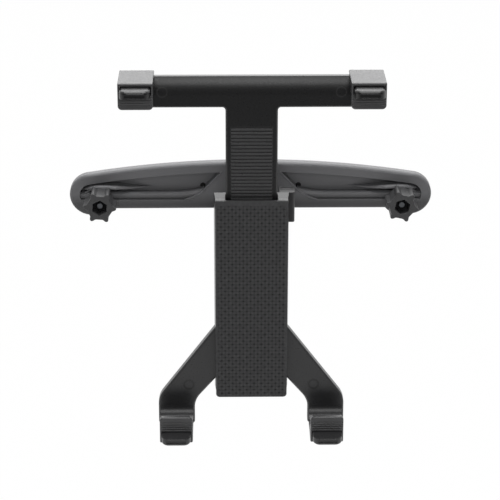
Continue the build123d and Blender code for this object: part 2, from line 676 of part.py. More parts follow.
def clamp_bar():
    """Bar behind the posts, hollowed at the back between ribs and bored for the two bolts."""
    end_round = (CLAMP_HEIGHT - CLAMP_END_FLAT) / 2
    open_y = clamp_back_y + CUT_OVER
    face = Pos(0, CLAMP_MIDDLE_Z) * RectangleRounded(2 * clamp_half, CLAMP_HEIGHT, end_round)
    bar = prism_y(face, clamp_front_y, clamp_back_y)
    bar = fillet([e for e in bar.edges() if abs(e.center().Y - clamp_back_y) < TOUCH], CLAMP_EDGE)
    span = 2 * (bolt_x - BOLT_HEAD_RADIUS - CLAMP_RIB) + CLAMP_RIB
    pitch = span / CLAMP_POCKETS
    for step in range(CLAMP_POCKETS):
        x = (step - (CLAMP_POCKETS - 1) / 2) * pitch
        hollow = RectangleRounded(pitch - CLAMP_RIB, CLAMP_HEIGHT - 2 * CLAMP_RIB, CLAMP_POCKET_CORNER)
        bar -= prism_y(Pos(x, CLAMP_MIDDLE_Z) * hollow, clamp_back_y - CLAMP_POCKET_DEPTH, open_y)
    return bar - both(rod_y(BOLT_RADIUS + PIN_GAP, clamp_front_y - CUT_OVER, open_y, bolt_x, 0))


def clamp_bolt(side):
    """Round-headed bolt from the clamp bar through the bracket into the knob."""
    x = side * bolt_x
    bolt = rod_y(BOLT_RADIUS, bolt_tip_y, clamp_back_y, x, 0)
    bolt += rod_y(BOLT_HEAD_RADIUS, clamp_back_y, clamp_back_y + BOLT_HEAD_HEIGHT, x, 0)
    bolt = fillet(bolt.edges().sort_by(Axis.Y)[-1], BOLT_HEAD_ROUND)
    return chamfer(bolt.edges().sort_by(Axis.Y)[0], BOLT_TIP_BEVEL)


def knob_outline():
    """Front view of a knob: a hexagon with a round bump on each corner."""
    bumps = PolarLocations(KNOB_CORNER_RADIUS, KNOB_LOBES) * Circle(KNOB_BUMP_RADIUS)
    return RegularPolygon(KNOB_CORNER_RADIUS, KNOB_LOBES) + bumps


def knob(side, turn):
    """Six-lobed knob with a hex pocket for its nut."""
    spot = Pos(side * bolt_x, 0) * Rot(0, 0, turn)
    body = prism_y(spot * knob_outline(), KNOB_FRONT_Y, knob_back_y)
    rim = [e for e in body.edges() if abs(e.center().Y - KNOB_FRONT_Y) < TOUCH]
    body = chamfer(rim, KNOB_EDGE)
    body -= prism_y(spot * hexagon(NUT_ACROSS + 2 * SEAT_GAP), KNOB_FRONT_Y - CUT_OVER, nut_back_y)
    bore = rod_y(BOLT_RADIUS + SLIDE_GAP, nut_back_y - CUT_OVER, knob_back_y + CUT_OVER, side * bolt_x, 0)
    return body - bore


def knob_nut(side, turn):
    """Nut at the bottom of a knob's hex pocket."""
    x, front = side * bolt_x, nut_back_y - NUT_THICK
    nut = prism_y(Pos(x, 0) * Rot(0, 0, turn) * hexagon(NUT_ACROSS), front, nut_back_y)
    return nut - rod_y(BOLT_RADIUS + PIN_GAP, front - CUT_OVER, nut_back_y + CUT_OVER, x, 0)


def spacer(side):
    """Flanged collar between the bracket and a knob."""
    x = side * bolt_x
    flange_y = knob_back_y + SLIDE_GAP
    collar = rod_y(SPACER_RADIUS, flange_y, flange_y + SPACER_FLANGE, x, 0)
    collar += rod_y(SPACER_HUB_RADIUS, flange_y + SPACER_FLANGE, KNOB_POCKET_FLOOR_Y, x, 0)
    return collar - rod_y(BOLT_RADIUS + SLIDE_GAP, flange_y - CUT_OVER, KNOB_POCKET_FLOOR_Y + CUT_OVER, x, 0)


def tilt_knuckle():
    """Knuckle between the ears: barrel, web, flange and the swivel spigot."""
    flange_back = flange_front_y + FLANGE_THICK
    web_half = BARREL_RADIUS - KNUCKLE_WEB_INSET
    piece = rod_x(BARREL_RADIUS, -BARREL_HALF, BARREL_HALF, TILT_Y, SWIVEL_Z)
    piece += block(-BARREL_HALF, BARREL_HALF, flange_back - CUT_OVER, TILT_Y,
                   SWIVEL_Z - web_half, SWIVEL_Z + web_half)
    piece += rod_y(FLANGE_RADIUS, flange_front_y, flange_back, 0, SWIVEL_Z)
    piece += rod_y(SPIGOT_RADIUS, retainer_back_y, flange_front_y, 0, SWIVEL_Z)
    reach = BARREL_HALF + CUT_OVER
    piece -= rod_x(TILT_BOLT_RADIUS + PIN_GAP, -reach, reach, TILT_Y, SWIVEL_Z)
    screw_end = retainer_back_y - RETAINER_THICK + SCREW_LENGTH + SEAT_GAP
    return piece - rod_y(SCREW_RADIUS + PIN_GAP, retainer_back_y - CUT_OVER, screw_end, 0, SWIVEL_Z)


def tilt_bolt():
    """Pivot bolt through the ears and the knuckle, headed at the right."""
    bolt = rod_x(TILT_BOLT_RADIUS, -ear_half - TILT_NUT_THICK, ear_half, TILT_Y, SWIVEL_Z)
    return bolt + rod_x(TILT_HEAD_RADIUS, ear_half, ear_half + TILT_HEAD_HEIGHT, TILT_Y, SWIVEL_Z)


def tilt_nut():
    """Nut on the left end of the tilt bolt."""
    left = -ear_half - TILT_NUT_THICK
    nut = prism_x(Pos(TILT_Y, SWIVEL_Z) * hexagon(TILT_NUT_ACROSS), left, -ear_half)
    return nut - rod_x(TILT_BOLT_RADIUS + PIN_GAP, left - CUT_OVER, CUT_OVER - ear_half, TILT_Y, SWIVEL_Z)


def swivel_retainer():
    """Washer on the spigot's end that keeps the cradle on its swivel."""
    front = retainer_back_y - RETAINER_THICK
    disc = rod_y(RETAINER_RADIUS, front, retainer_back_y, 0, SWIVEL_Z)
    return disc - rod_y(SCREW_RADIUS + PIN_GAP, front - CUT_OVER, retainer_back_y + CUT_OVER, 0, SWIVEL_Z)


def swivel_screw():
    """Screw that holds the retainer to the spigot."""
    front = retainer_back_y - RETAINER_THICK
    shank = rod_y(SCREW_RADIUS, front, front + SCREW_LENGTH, 0, SWIVEL_Z)
    return shank + rod_y(SCREW_HEAD_RADIUS, front - SCREW_HEAD_HEIGHT, front, 0, SWIVEL_Z)


def release_lever():
    """Rocker behind the column: hollow thumb paddle, pivot barrel and a toothed pawl."""
    low, high = LEVER_ARM_BOTTOM_Z, LEVER_ARM_TOP_Z
    paddle = block(PADDLE_X0, PADDLE_X1, lever_front_y, PADDLE_BACK_Y, PADDLE_BOTTOM_Z, HOUSING_TOP_Z)
    outer = [e for e in paddle.edges().filter_by(Axis.Z) if e.center().X > PADDLE_X1 - TOUCH]
    paddle = fillet(outer, PADDLE_ROUND)
    paddle -= block(PADDLE_X0 + PADDLE_WALL, PADDLE_X1 - PADDLE_WALL, lever_arm_back_y,
                    PADDLE_BACK_Y - PADDLE_WALL, HOUSING_TOP_Z - PADDLE_POCKET, HOUSING_TOP_Z + CUT_OVER)
    arm = block(LEVER_ARM_X, PADDLE_X0, lever_front_y, lever_arm_back_y, low, high)
    arm += rod_z(LEVER_BARREL_RADIUS, low, high, LEVER_PIVOT_X, LEVER_PIVOT_Y)
    tip_y = stem_back_y - RACK_DEPTH + PAWL_TIP_GAP
    for tooth in range(PAWL_TEETH):
        z = PAWL_Z - tooth * RIB_PITCH
        arm += block(LEVER_ARM_X, LEVER_ARM_X + PAWL_WIDTH, tip_y, lever_front_y,
                     z - PAWL_TOOTH / 2, z + PAWL_TOOTH / 2)
    gap = SPRING_LENGTH / 2 + SLIDE_GAP
    room = LEVER_BARREL_RADIUS + SLIDE_GAP
    middle = (low + high) / 2
    arm -= block(LEVER_PIVOT_X - room, LEVER_PIVOT_X + room, lever_front_y - CUT_OVER,
                 lever_arm_back_y + CUT_OVER, middle - gap, middle + gap)
    bore = rod_z(LEVER_PIN_RADIUS + PIN_GAP, low - CUT_OVER, high + CUT_OVER, LEVER_PIVOT_X, LEVER_PIVOT_Y)
    return paddle + arm - bore


def lever_pin():
    """Pin in the column's ears that the lever turns on."""
    low = LEVER_ARM_BOTTOM_Z - SLIDE_GAP - LUG_HALF
    return rod_z(LEVER_PIN_RADIUS, low, HOUSING_TOP_Z, LEVER_PIVOT_X, LEVER_PIVOT_Y)


def lever_spring():
    """Torsion spring round the pin, drawn as its close-wound coil and one leg on the column."""
    middle = (LEVER_ARM_BOTTOM_Z + LEVER_ARM_TOP_Z) / 2
    low, high = middle - SPRING_LENGTH / 2, middle + SPRING_LENGTH / 2
    bore = LEVER_PIN_RADIUS + PIN_GAP
    outer = bore + SPRING_WIRE
    coil = rod_z(outer, low, high, LEVER_PIVOT_X, LEVER_PIVOT_Y)
    coil += block(LEVER_PIVOT_X - outer, LEVER_PIVOT_X - outer + SPRING_WIRE, housing_back_y, LEVER_PIVOT_Y,
                  low, low + SPRING_WIRE)
    return coil - rod_z(bore, low - CUT_OVER, high + CUT_OVER, LEVER_PIVOT_X, LEVER_PIVOT_Y)


SIDES = {"left": -1, "right": 1}
KNOB_TURNS = {"left": KNOB_TURN_LEFT, "right": KNOB_TURN_RIGHT}
CLAW_ROWS = {
    "upper": ClawRow(UPPER_CLAW_X, upper_claw_outer_z, 1, CLAW_WALL, CLAW_HEIGHT),
    "lower": ClawRow(LOWER_CLAW_X, LOWER_CLAW_OUTER_Z, -1, LOWER_CLAW_WALL, LOWER_CLAW_HEIGHT),
}

save(grip_panel(), "grip_panel")
save(cradle_front(), "cradle_front")
save(cradle_back(), "cradle_back")
save(cover_screws(), "cover_screws")
save(slide_bar(), "slide_bar")
save(bracket_shell(), "bracket_shell")
save(clamp_bar(), "clamp_bar")
save(tilt_knuckle(), "tilt_knuckle")
save(tilt_bolt(), "tilt_bolt")
save(tilt_nut(), "tilt_nut")
save(swivel_retainer(), "swivel_retainer")
save(swivel_screw(), "swivel_screw")
save(release_lever(), "release_lever")
save(lever_pin(), "lever_pin")
save(lever_spring(), "lever_spring")

for name, side in SIDES.items():
    save(post_pad(side, BRACKET_REAR_Y), f"bracket_pad_{name}")
    save(post_pad(side, clamp_front_y - PAD_THICK), f"clamp_pad_{name}")
    save(clamp_bolt(side), f"clamp_bolt_{name}")
    save(knob(side, KNOB_TURNS[name]), f"knob_{name}")
    save(knob_nut(side, KNOB_TURNS[name]), f"knob_nut_{name}")
    save(spacer(side), f"spacer_{name}")
    for row_name, row in CLAW_ROWS.items():
        save(claw(row, side), f"claw_{row_name}_{name}")
        save(claw_pad(row, side), f"claw_pad_{row_name}_{name}")
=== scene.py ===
"""Headrest tablet mount: finishes, woven grip, knobs, trim, threads, rubber and a white studio."""

import logging
import math
from dataclasses import dataclass
from enum import Enum
from typing import Callable

import bmesh
import bpy
import numpy as np
from mathutils import Matrix, Vector


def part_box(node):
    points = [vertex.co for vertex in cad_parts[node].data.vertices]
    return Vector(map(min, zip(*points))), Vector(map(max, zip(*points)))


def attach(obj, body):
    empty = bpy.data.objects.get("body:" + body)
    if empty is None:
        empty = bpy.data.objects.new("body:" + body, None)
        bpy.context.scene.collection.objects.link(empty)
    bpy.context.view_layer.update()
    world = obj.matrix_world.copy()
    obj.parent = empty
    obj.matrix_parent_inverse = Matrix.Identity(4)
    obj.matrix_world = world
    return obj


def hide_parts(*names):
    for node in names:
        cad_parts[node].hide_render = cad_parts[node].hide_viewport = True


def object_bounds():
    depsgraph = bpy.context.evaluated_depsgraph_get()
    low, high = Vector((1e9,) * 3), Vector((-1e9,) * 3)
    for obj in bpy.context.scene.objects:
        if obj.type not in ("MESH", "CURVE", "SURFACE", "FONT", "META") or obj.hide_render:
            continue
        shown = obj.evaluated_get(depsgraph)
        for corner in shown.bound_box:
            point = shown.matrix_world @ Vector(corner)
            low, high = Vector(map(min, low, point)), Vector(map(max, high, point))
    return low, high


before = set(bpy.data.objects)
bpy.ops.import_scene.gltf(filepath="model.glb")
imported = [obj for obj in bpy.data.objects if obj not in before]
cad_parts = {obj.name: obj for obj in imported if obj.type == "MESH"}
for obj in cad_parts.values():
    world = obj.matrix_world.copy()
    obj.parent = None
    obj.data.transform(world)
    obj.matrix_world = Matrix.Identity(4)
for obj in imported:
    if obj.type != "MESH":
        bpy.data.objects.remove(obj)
cad_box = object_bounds()

log = logging.getLogger("headrest_mount")

MM = 0.001
WELD_DISTANCE = 1e-7
RELIEF = "relief"
BEVEL_SAMPLES = 6
# Most values of a noise texture fall in this range.
NOISE_SPAN = (0.3, 0.7)
# An edge turns pale, with rub wear and a painted highlight, where the cosine between its rounded and true
# normals falls through this range.
EDGE_PALE_COSINES = (0.99, 0.8)

Colour = tuple[float, float, float, float]
Tree = bpy.types.NodeTree
Socket = bpy.types.NodeSocket


class Side(Enum):
    """The two ends of the mount, as the viewer sees them."""

    LEFT = "left"
    RIGHT = "right"

    @property
    def sign(self) -> float:
        """Sign of x on this side."""
        return 1.0 if self is Side.RIGHT else -1.0


class Row(Enum):
    """The two rows of claws that hold the tablet."""

    UPPER = "upper"
    LOWER = "lower"


class Recess(Enum):
    """Driver recesses of the screws."""

    CROSS = "cross"
    HEX = "hex"


class Slot(Enum):
    """Names of material slots."""

    BODY = "black_abs"
    GRIP = "grip_weave"
    KNOB = "knob_plastic"
    RUBBER = "rubber"
    STEEL = "steel"


def linear(hex_colour: str) -> Colour:
    """Turn an sRGB hex colour into linear red, green, blue and alpha.

    Args:
        hex_colour: Colour written as #rrggbb.

    Returns:
        The same colour in linear light, with an alpha of 1.
    """
    channels = np.array([int(hex_colour[i:i + 2], 16) for i in (1, 3, 5)]) / 255.0
    curve = ((channels + 0.055) / 1.055) ** 2.4
    return (*np.where(channels <= 0.04045, channels / 12.92, curve).tolist(), 1.0)


def per_mm(size: float) -> float:
    """Texture scale whose features are about size millimetres wide, in a scene of metres."""
    return 1.0 / (size * MM)


def add_node(tree: Tree, kind: str, settings: dict[str, object] | None = None,
             inputs: dict[str | int, object] | None = None) -> bpy.types.Node:
    """Add one node, set its properties, and fill or link its inputs.

    Args:
        tree: Node tree that takes the node.
        kind: Blender's name for the node's type.
        settings: Property names and their values.
        inputs: Socket names or numbers, each with a value or an output socket to link.

    Returns:
        The new node.
    """
    node = tree.nodes.new(kind)
    for name, value in (settings or {}).items():
        setattr(node, name, value)
    for socket, value in (inputs or {}).items():
        if isinstance(value, Socket):
            tree.links.new(value, node.inputs[socket])
        else:
            node.inputs[socket].default_value = value
    return node


def new_tree(name: str) -> tuple[bpy.types.Material, Tree]:
    """Make an empty node material.

    Args:
        name: Name of the material.

    Returns:
        The material and its node tree.
    """
    material = bpy.data.materials.new(name)
    material.use_nodes = True
    material.node_tree.nodes.clear()
    return material, material.node_tree


@dataclass(frozen=True)
class MouldedPlastic:
    """Injection-moulded ABS with a fine eroded texture.

    The eye sees a near-black satin surface: soft broad reflections on faces that meet the light at a
    low angle, a slightly cloudy tone from the mould, and edges a little smoother and paler, partly from rub
    wear and partly from a painted highlight.
    The real grain is about 0.1 mm, so it is drawn coarser here to show at all.
    """

    name: str
    colour: str
    cloud_colour: str
    wear_and_highlight_colour: str
    roughness: float
    roughness_spread: float = 0.08
    specular: float = 0.5
    cloud_mm: float = 14.0
    grain_mm: float = 0.7
    grain_height_mm: float = 0.012
    edge_mm: float = 0.35
    wear_and_highlight: float = 0.5
    pin_marks_mm: tuple[tuple[float, float], ...] = ()
    pin_radius_mm: float = 2.7
    pin_line_mm: float = 0.45
    pin_strength: float = 0.5
    pin_colour: str = "#3e3e3f"
    # Ribbed patch with a painted highlight on its ribs and painted shade in its grooves.
    rib_patch_mm: tuple[float, float] | None = None  # half width, top
    rib_patch_fade_mm: float = 0.3
    rib_pitch_mm: float = 2.0
    rib_flank: tuple[float, float] = (0.4, 0.65)
    rib_highlight_colour: str = "#3e3e3f"
    groove_shade_colour: str = "#181819"
    hollow_shade_colour: str | None = None
    # Painted shade towards the lower edge: its colour, and the heights over which it fades in.
    painted_shade_colour: str | None = None
    painted_shade_fade_mm: tuple[float, float] = (2.5, -3.5)  # from, to

    def paint_low_shade(self, tree: Tree, place: Socket, tone: Socket) -> Socket:
        """Paint shade on the piece: it turns darker towards its lower edge.

        Args:
            tree: Node tree that takes the nodes.
            place: Coordinates on the piece.
            tone: Colour of the rest.

        Returns:
            The colour with the painted shade.
        """
        if self.painted_shade_colour is None:
            return tone
        top, bottom = self.painted_shade_fade_mm
        parts = add_node(tree, "ShaderNodeSeparateXYZ", inputs={0: place})
        below = add_node(tree, "ShaderNodeMapRange", inputs={
            "Value": parts.outputs["Z"], "From Min": top * MM, "From Max": bottom * MM})
        # Painted shade: the lower on the piece, the nearer to the darker colour.
        return add_node(tree, "ShaderNodeMix", {"data_type": "RGBA"}, {
            0: below.outputs["Result"], 6: tone, 7: linear(self.painted_shade_colour)}).outputs[2]

    def sunk(self, tree: Tree, tone: Socket) -> Socket:
        """Darken the tone in the hollows of a relief: painted shade where light doesn't reach, and no wear
        there.

        Args:
            tree: Node tree that takes the nodes.
            tone: Colour of the surface's high parts.

        Returns:
            The colour with painted shade in the hollows.
        """
        if self.hollow_shade_colour is None:
            return tone
        relief = add_node(tree, "ShaderNodeAttribute", {"attribute_name": RELIEF})
        # Painted shade: the deeper the relief, the nearer to the dark colour.
        return add_node(tree, "ShaderNodeMix", {"data_type": "RGBA"}, {
            0: relief.outputs["Fac"], 6: linear(self.hollow_shade_colour), 7: tone}).outputs[2]

    def paint_rib_light_and_shade(self, tree: Tree, place: Socket, tone: Socket) -> Socket:
        """Paint a highlight on the ribs of the piece's ribbed patch, and shade in its grooves.

        The patch runs down the middle of the piece, below a height and within a half width. Height
        folded to and fro over half a pitch tells ribs from grooves, which are at its multiples.

        Args:
            tree: Node tree that takes the nodes.
            place: Coordinates on the piece.
            tone: Colour of the rest.

        Returns:
            The colour with the painted highlights and shade on the patch.
        """
        if self.rib_patch_mm is None:
            return tone
        half, top = self.rib_patch_mm
        fade = self.rib_patch_fade_mm
        parts = add_node(tree, "ShaderNodeSeparateXYZ", inputs={0: place})
        aside = add_node(tree, "ShaderNodeMath", {"operation": "ABSOLUTE"}, {0: parts.outputs["X"]})
        within = add_node(tree, "ShaderNodeMapRange", inputs={
            "Value": aside.outputs[0], "From Min": half * MM, "From Max": (half - fade) * MM})
        below = add_node(tree, "ShaderNodeMapRange", inputs={
            "Value": parts.outputs["Z"], "From Min": top * MM, "From Max": (top - fade) * MM})
        inside = add_node(tree, "ShaderNodeMath", {"operation": "MULTIPLY"}, {
            0: within.outputs["Result"], 1: below.outputs["Result"]})
        half_pitch = self.rib_pitch_mm / 2 * MM
        fold = add_node(tree, "ShaderNodeMath", {"operation": "PINGPONG"}, {
            0: parts.outputs["Z"], 1: half_pitch})
        rib = add_node(tree, "ShaderNodeMapRange", inputs={
            "Value": fold.outputs[0], "From Min": self.rib_flank[0] * half_pitch,
            "From Max": self.rib_flank[1] * half_pitch})
        # Painted highlight on the ribs, painted shade in the grooves.
        ribbed = add_node(tree, "ShaderNodeMix", {"data_type": "RGBA"}, {
            0: rib.outputs["Result"], 6: linear(self.groove_shade_colour), 7: linear(self.rib_highlight_colour)})
        return add_node(tree, "ShaderNodeMix", {"data_type": "RGBA"}, {
            0: inside.outputs[0], 6: tone, 7: ribbed.outputs[2]}).outputs[2]

    def marked(self, tree: Tree, place: Socket, tone: Socket) -> Socket:
        """Draw the faint rings that the mould's ejector pins leave on a front face.

        A ring is where the distance from its centre, seen from the front, is near the pin's radius.

        Args:
            tree: Node tree that takes the nodes.
            place: Coordinates on the piece.
            tone: Colour of the surface without rings.

        Returns:
            The colour with the rings.
        """
        for x, z in self.pin_marks_mm:
            flat = add_node(tree, "ShaderNodeVectorMath", {"operation": "MULTIPLY"}, {
                0: place, 1: (1.0, 0.0, 1.0)})
            reach = add_node(tree, "ShaderNodeVectorMath", {"operation": "DISTANCE"}, {
                0: flat.outputs["Vector"], 1: (x * MM, 0.0, z * MM)})
            off = add_node(tree, "ShaderNodeMath", {"operation": "SUBTRACT"}, {
                0: reach.outputs["Value"], 1: self.pin_radius_mm * MM})
            away = add_node(tree, "ShaderNodeMath", {"operation": "ABSOLUTE"}, {0: off.outputs[0]})
            ring = add_node(tree, "ShaderNodeMapRange", inputs={
                "Value": away.outputs[0], "From Min": 0.0, "From Max": self.pin_line_mm * MM,
                "To Min": self.pin_strength, "To Max": 0.0})
            tone = add_node(tree, "ShaderNodeMix", {"data_type": "RGBA"}, {
                0: ring.outputs["Result"], 6: tone, 7: linear(self.pin_colour)}).outputs[2]
        return tone

    def build(self) -> bpy.types.Material:
        """Build the material's nodes.

        Returns:
            The finished material.
        """
        material, tree = new_tree(self.name)
        place = add_node(tree, "ShaderNodeTexCoord").outputs["Object"]
        cloud = add_node(tree, "ShaderNodeTexNoise", inputs={
            "Vector": place, "Scale": per_mm(self.cloud_mm), "Detail": 4.0})
        grain = add_node(tree, "ShaderNodeTexNoise", inputs={
            "Vector": place, "Scale": per_mm(self.grain_mm), "Detail": 2.0})
        corner = add_node(tree, "ShaderNodeBevel", {"samples": BEVEL_SAMPLES}, {"Radius": self.edge_mm * MM})
        face = add_node(tree, "ShaderNodeNewGeometry")
        along = add_node(tree, "ShaderNodeVectorMath", {"operation": "DOT_PRODUCT"}, {
            0: corner.outputs["Normal"], 1: face.outputs["Normal"]})
        edge_pale = add_node(tree, "ShaderNodeMapRange", inputs={
            "Value": along.outputs["Value"], "From Min": EDGE_PALE_COSINES[0], "From Max": EDGE_PALE_COSINES[1],
            "To Min": 0.0, "To Max": self.wear_and_highlight})
        tone = add_node(tree, "ShaderNodeMix", {"data_type": "RGBA"}, {
            0: cloud.outputs["Fac"], 6: linear(self.colour), 7: linear(self.cloud_colour)})
        base = self.paint_low_shade(tree, place, self.sunk(tree, tone.outputs[2]))
        base = self.marked(tree, place, self.paint_rib_light_and_shade(tree, place, base))
        # Pale edges: partly rub wear, partly a painted highlight.
        edge_paled = add_node(tree, "ShaderNodeMix", {"data_type": "RGBA"}, {
            0: edge_pale.outputs["Result"], 6: base, 7: linear(self.wear_and_highlight_colour)})
        sheen = add_node(tree, "ShaderNodeMapRange", inputs={
            "Value": grain.outputs["Fac"], "From Min": NOISE_SPAN[0], "From Max": NOISE_SPAN[1],
            "To Min": self.roughness - self.roughness_spread,
            "To Max": self.roughness + self.roughness_spread})
        bump = add_node(tree, "ShaderNodeBump", inputs={
            "Height": grain.outputs["Fac"], "Distance": self.grain_height_mm * MM,
            "Normal": corner.outputs["Normal"]})
        shader = add_node(tree, "ShaderNodeBsdfPrincipled", inputs={
            "Base Color": edge_paled.outputs[2], "Roughness": sheen.outputs["Result"],
            "Specular IOR Level": self.specular, "Normal": bump.outputs["Normal"]})
        add_node(tree, "ShaderNodeOutputMaterial", inputs={"Surface": shader.outputs["BSDF"]})
        return material


@dataclass(frozen=True)
class Rubber:
    """Soft moulded rubber: a matt grey-black with a dusty bloom and no clear reflection."""

    name: str
    colour: str
    bloom_colour: str
    roughness: float = 0.82
    specular: float = 0.3
    bloom_mm: float = 5.0
    grit_mm: float = 0.5
    grit_height_mm: float = 0.02

    def build(self) -> bpy.types.Material:
        """Build the material's nodes.

        Returns:
            The finished material.
        """
        material, tree = new_tree(self.name)
        place = add_node(tree, "ShaderNodeTexCoord").outputs["Object"]
        bloom = add_node(tree, "ShaderNodeTexNoise", inputs={
            "Vector": place, "Scale": per_mm(self.bloom_mm), "Detail": 5.0})
        grit = add_node(tree, "ShaderNodeTexNoise", inputs={
            "Vector": place, "Scale": per_mm(self.grit_mm), "Detail": 2.0})
        tone = add_node(tree, "ShaderNodeMix", {"data_type": "RGBA"}, {
            0: bloom.outputs["Fac"], 6: linear(self.colour), 7: linear(self.bloom_colour)})
        bump = add_node(tree, "ShaderNodeBump", inputs={
            "Height": grit.outputs["Fac"], "Distance": self.grit_height_mm * MM})
        shader = add_node(tree, "ShaderNodeBsdfPrincipled", inputs={
            "Base Color": tone.outputs[2], "Roughness": self.roughness,
            "Specular IOR Level": self.specular, "Normal": bump.outputs["Normal"]})
        add_node(tree, "ShaderNodeOutputMaterial", inputs={"Surface": shader.outputs["BSDF"]})
        return material


@dataclass(frozen=True)
class PlatedSteel:
    """Zinc-plated steel: a dull bright metal with a faintly mottled, slightly streaked plating."""

    name: str
    colour: str
    mottle_colour: str
    roughness: float = 0.38
    brighter: float = 0.08
    duller: float = 0.12
    mottle_mm: float = 1.2

    def build(self) -> bpy.types.Material:
        """Build the material's nodes.

        Returns:
            The finished material.
        """
        material, tree = new_tree(self.name)
        place = add_node(tree, "ShaderNodeTexCoord").outputs["Object"]
        mottle = add_node(tree, "ShaderNodeTexNoise", inputs={
            "Vector": place, "Scale": per_mm(self.mottle_mm), "Detail": 4.0})
        tone = add_node(tree, "ShaderNodeMix", {"data_type": "RGBA"}, {
            0: mottle.outputs["Fac"], 6: linear(self.colour), 7: linear(self.mottle_colour)})
        dull = add_node(tree, "ShaderNodeMapRange", inputs={
            "Value": mottle.outputs["Fac"], "From Min": NOISE_SPAN[0], "From Max": NOISE_SPAN[1],
            "To Min": self.roughness - self.brighter, "To Max": self.roughness + self.duller})
        shader = add_node(tree, "ShaderNodeBsdfPrincipled", inputs={
            "Base Color": tone.outputs[2], "Metallic": 1.0, "Roughness": dull.outputs["Result"]})
        add_node(tree, "ShaderNodeOutputMaterial", inputs={"Surface": shader.outputs["BSDF"]})
        return material


# Polished mould: the column's shells and the legs mirror the pale room in soft gradients.
COLUMN_PLASTIC = MouldedPlastic(
    "glossy_black_abs", "#262627", "#2c2c2d", "#333334", 0.3, roughness_spread=0.03, grain_height_mm=0.0015,
    pin_marks_mm=((-35.5, -102.5), (35.5, -102.5)), pin_line_mm=0.9, pin_strength=1.0, pin_colour="#050505")
# The same polish in a deeper black, with pale edges of rub wear and painted highlight, and down the stem a
# ribbed patch with painted highlights on the ribs and painted shade in the grooves.
SLIDE_PLASTIC = MouldedPlastic(
    "ribbed_black_abs", "#111112", "#161617", "#565657", 0.3, roughness_spread=0.03, grain_height_mm=0.0015,
    edge_mm=0.3, wear_and_highlight=0.75, pin_marks_mm=((-48.0, 72.2), (48.0, 72.2)), rib_patch_mm=(11.3, 52.5))
# Coarse eroded mould: the bracket looks charcoal grey, with painted shade that darkens it towards its rail.
BRACKET_PLASTIC = MouldedPlastic("charcoal_textured_abs", "#666668", "#6e6e70", "#848486", 0.46,
                                 painted_shade_colour="#4a4a4b")
# Satin mould: the tops of the claws catch the overhead light, and their edges show as pale lines of rub wear
# and painted highlight.
CLAW_PLASTIC = MouldedPlastic("claw_black_abs", "#3f3f40", "#464647", "#6a6a6b", 0.36, grain_height_mm=0.003)
# Nylon: duller than ABS, so that the lobes show by their shading and hardly shine.
KNOB_PLASTIC = MouldedPlastic("knob_black_nylon", "#3d3d3e", "#454546", "#5c5c5d", 0.42)
# Woven-look mould: small cushions of uneven grey, with painted shade that darkens the grooves and turns the
# dots where the strands cross black.
WEAVE_PLASTIC = MouldedPlastic("woven_look_grip", "#2f2f30", "#4a4a4b", "#505051", 0.5, specular=0.3,
                               cloud_mm=2.6, edge_mm=0.1, hollow_shade_colour="#090909")
# Natural rubber filled with carbon: black without a shine, greyed by its bloom.
PAD_RUBBER = Rubber("post_pad_rubber", "#181818", "#242423")
# Zinc plate: a dull, bright grey on the bolts, the pivot and the spring.
BRIGHT_STEEL = PlatedSteel("zinc_plated_steel", "#5f6164", "#74767a")
# Black oxide: screws and nuts that stay dim inside their pockets.
DARK_STEEL = PlatedSteel("blackened_steel", "#2c2c2e", "#3c3c3e", roughness=0.5)


def full_turn(count: int) -> np.ndarray:
    """Angles round a full turn, as one row that doesn't repeat its first."""
    return np.linspace(0.0, 2 * math.pi, count, endpoint=False)[None, :]


def quarter_turn(count: int) -> np.ndarray:
    """Angles from 0 to a right angle, as one row."""
    return np.linspace(0.0, math.pi / 2, count)[None, :]


def surface(name: str, *grids: np.ndarray, closed: bool = True, caps: bool = False) -> bpy.types.Object:
    """Make one mesh object from one or more grids of points.

    Each cell of a grid becomes one quad. Points that meet at a pole or a seam are welded, and the
    faces are turned outwards.

    Args:
        name: Name of the object and its mesh.
        grids: Arrays of rows, columns and coordinates, in metres.
        closed: Whether the last column of a grid joins its first.
        caps: Whether the first and last rows are each filled with one face.

    Returns:
        The new object, at the origin.
    """
    points: list[np.ndarray] = []
    faces: list[list[int]] = []
    start = 0
    for grid in grids:
        rows, columns = grid.shape[:2]
        index = start + np.arange(rows * columns).reshape(rows, columns)
        ends = (index[0, ::-1].tolist(), index[-1].tolist())
        if closed:
            index = np.hstack([index, index[:, :1]])
        quads = np.stack([index[:-1, :-1], index[:-1, 1:], index[1:, 1:], index[1:, :-1]], axis=-1)
        faces.extend(quads.reshape(-1, 4).tolist())
        if caps:
            faces.extend(ends)
        points.append(grid.reshape(-1, 3))
        start += rows * columns
    mesh = bpy.data.meshes.new(name)
    mesh.from_pydata(np.vstack(points).tolist(), [], faces)
    shape = bmesh.new()
    shape.from_mesh(mesh)
    bmesh.ops.remove_doubles(shape, verts=shape.verts, dist=WELD_DISTANCE)
    bmesh.ops.recalc_face_normals(shape, faces=shape.faces)
    shape.to_mesh(mesh)
    shape.free()
    piece = bpy.data.objects.new(name, mesh)
    bpy.context.scene.collection.objects.link(piece)
    return piece


def carried(line: np.ndarray, section: np.ndarray, depth: np.ndarray) -> np.ndarray:
    """Carry a section along a line that is seen from the front.

    At each point of the line, the section's points lie at given distances from the line, along its
    upper normal, and at given depths.

    Args:
        line: Points of x and z along the line, from the bracket's middle outwards.
        section: Distances along the normal, one row for each point of the line.
        depth: The y coordinates of the same points.

    Returns:
        Grid of points, one row for each point of the line.
    """
    ahead = np.gradient(line, axis=0)
    ahead /= np.linalg.norm(ahead, axis=1, keepdims=True)
    x = line[:, :1] - ahead[:, 1:] * section
    z = line[:, 1:] + ahead[:, :1] * section
    return np.stack([x, depth, z], axis=-1)


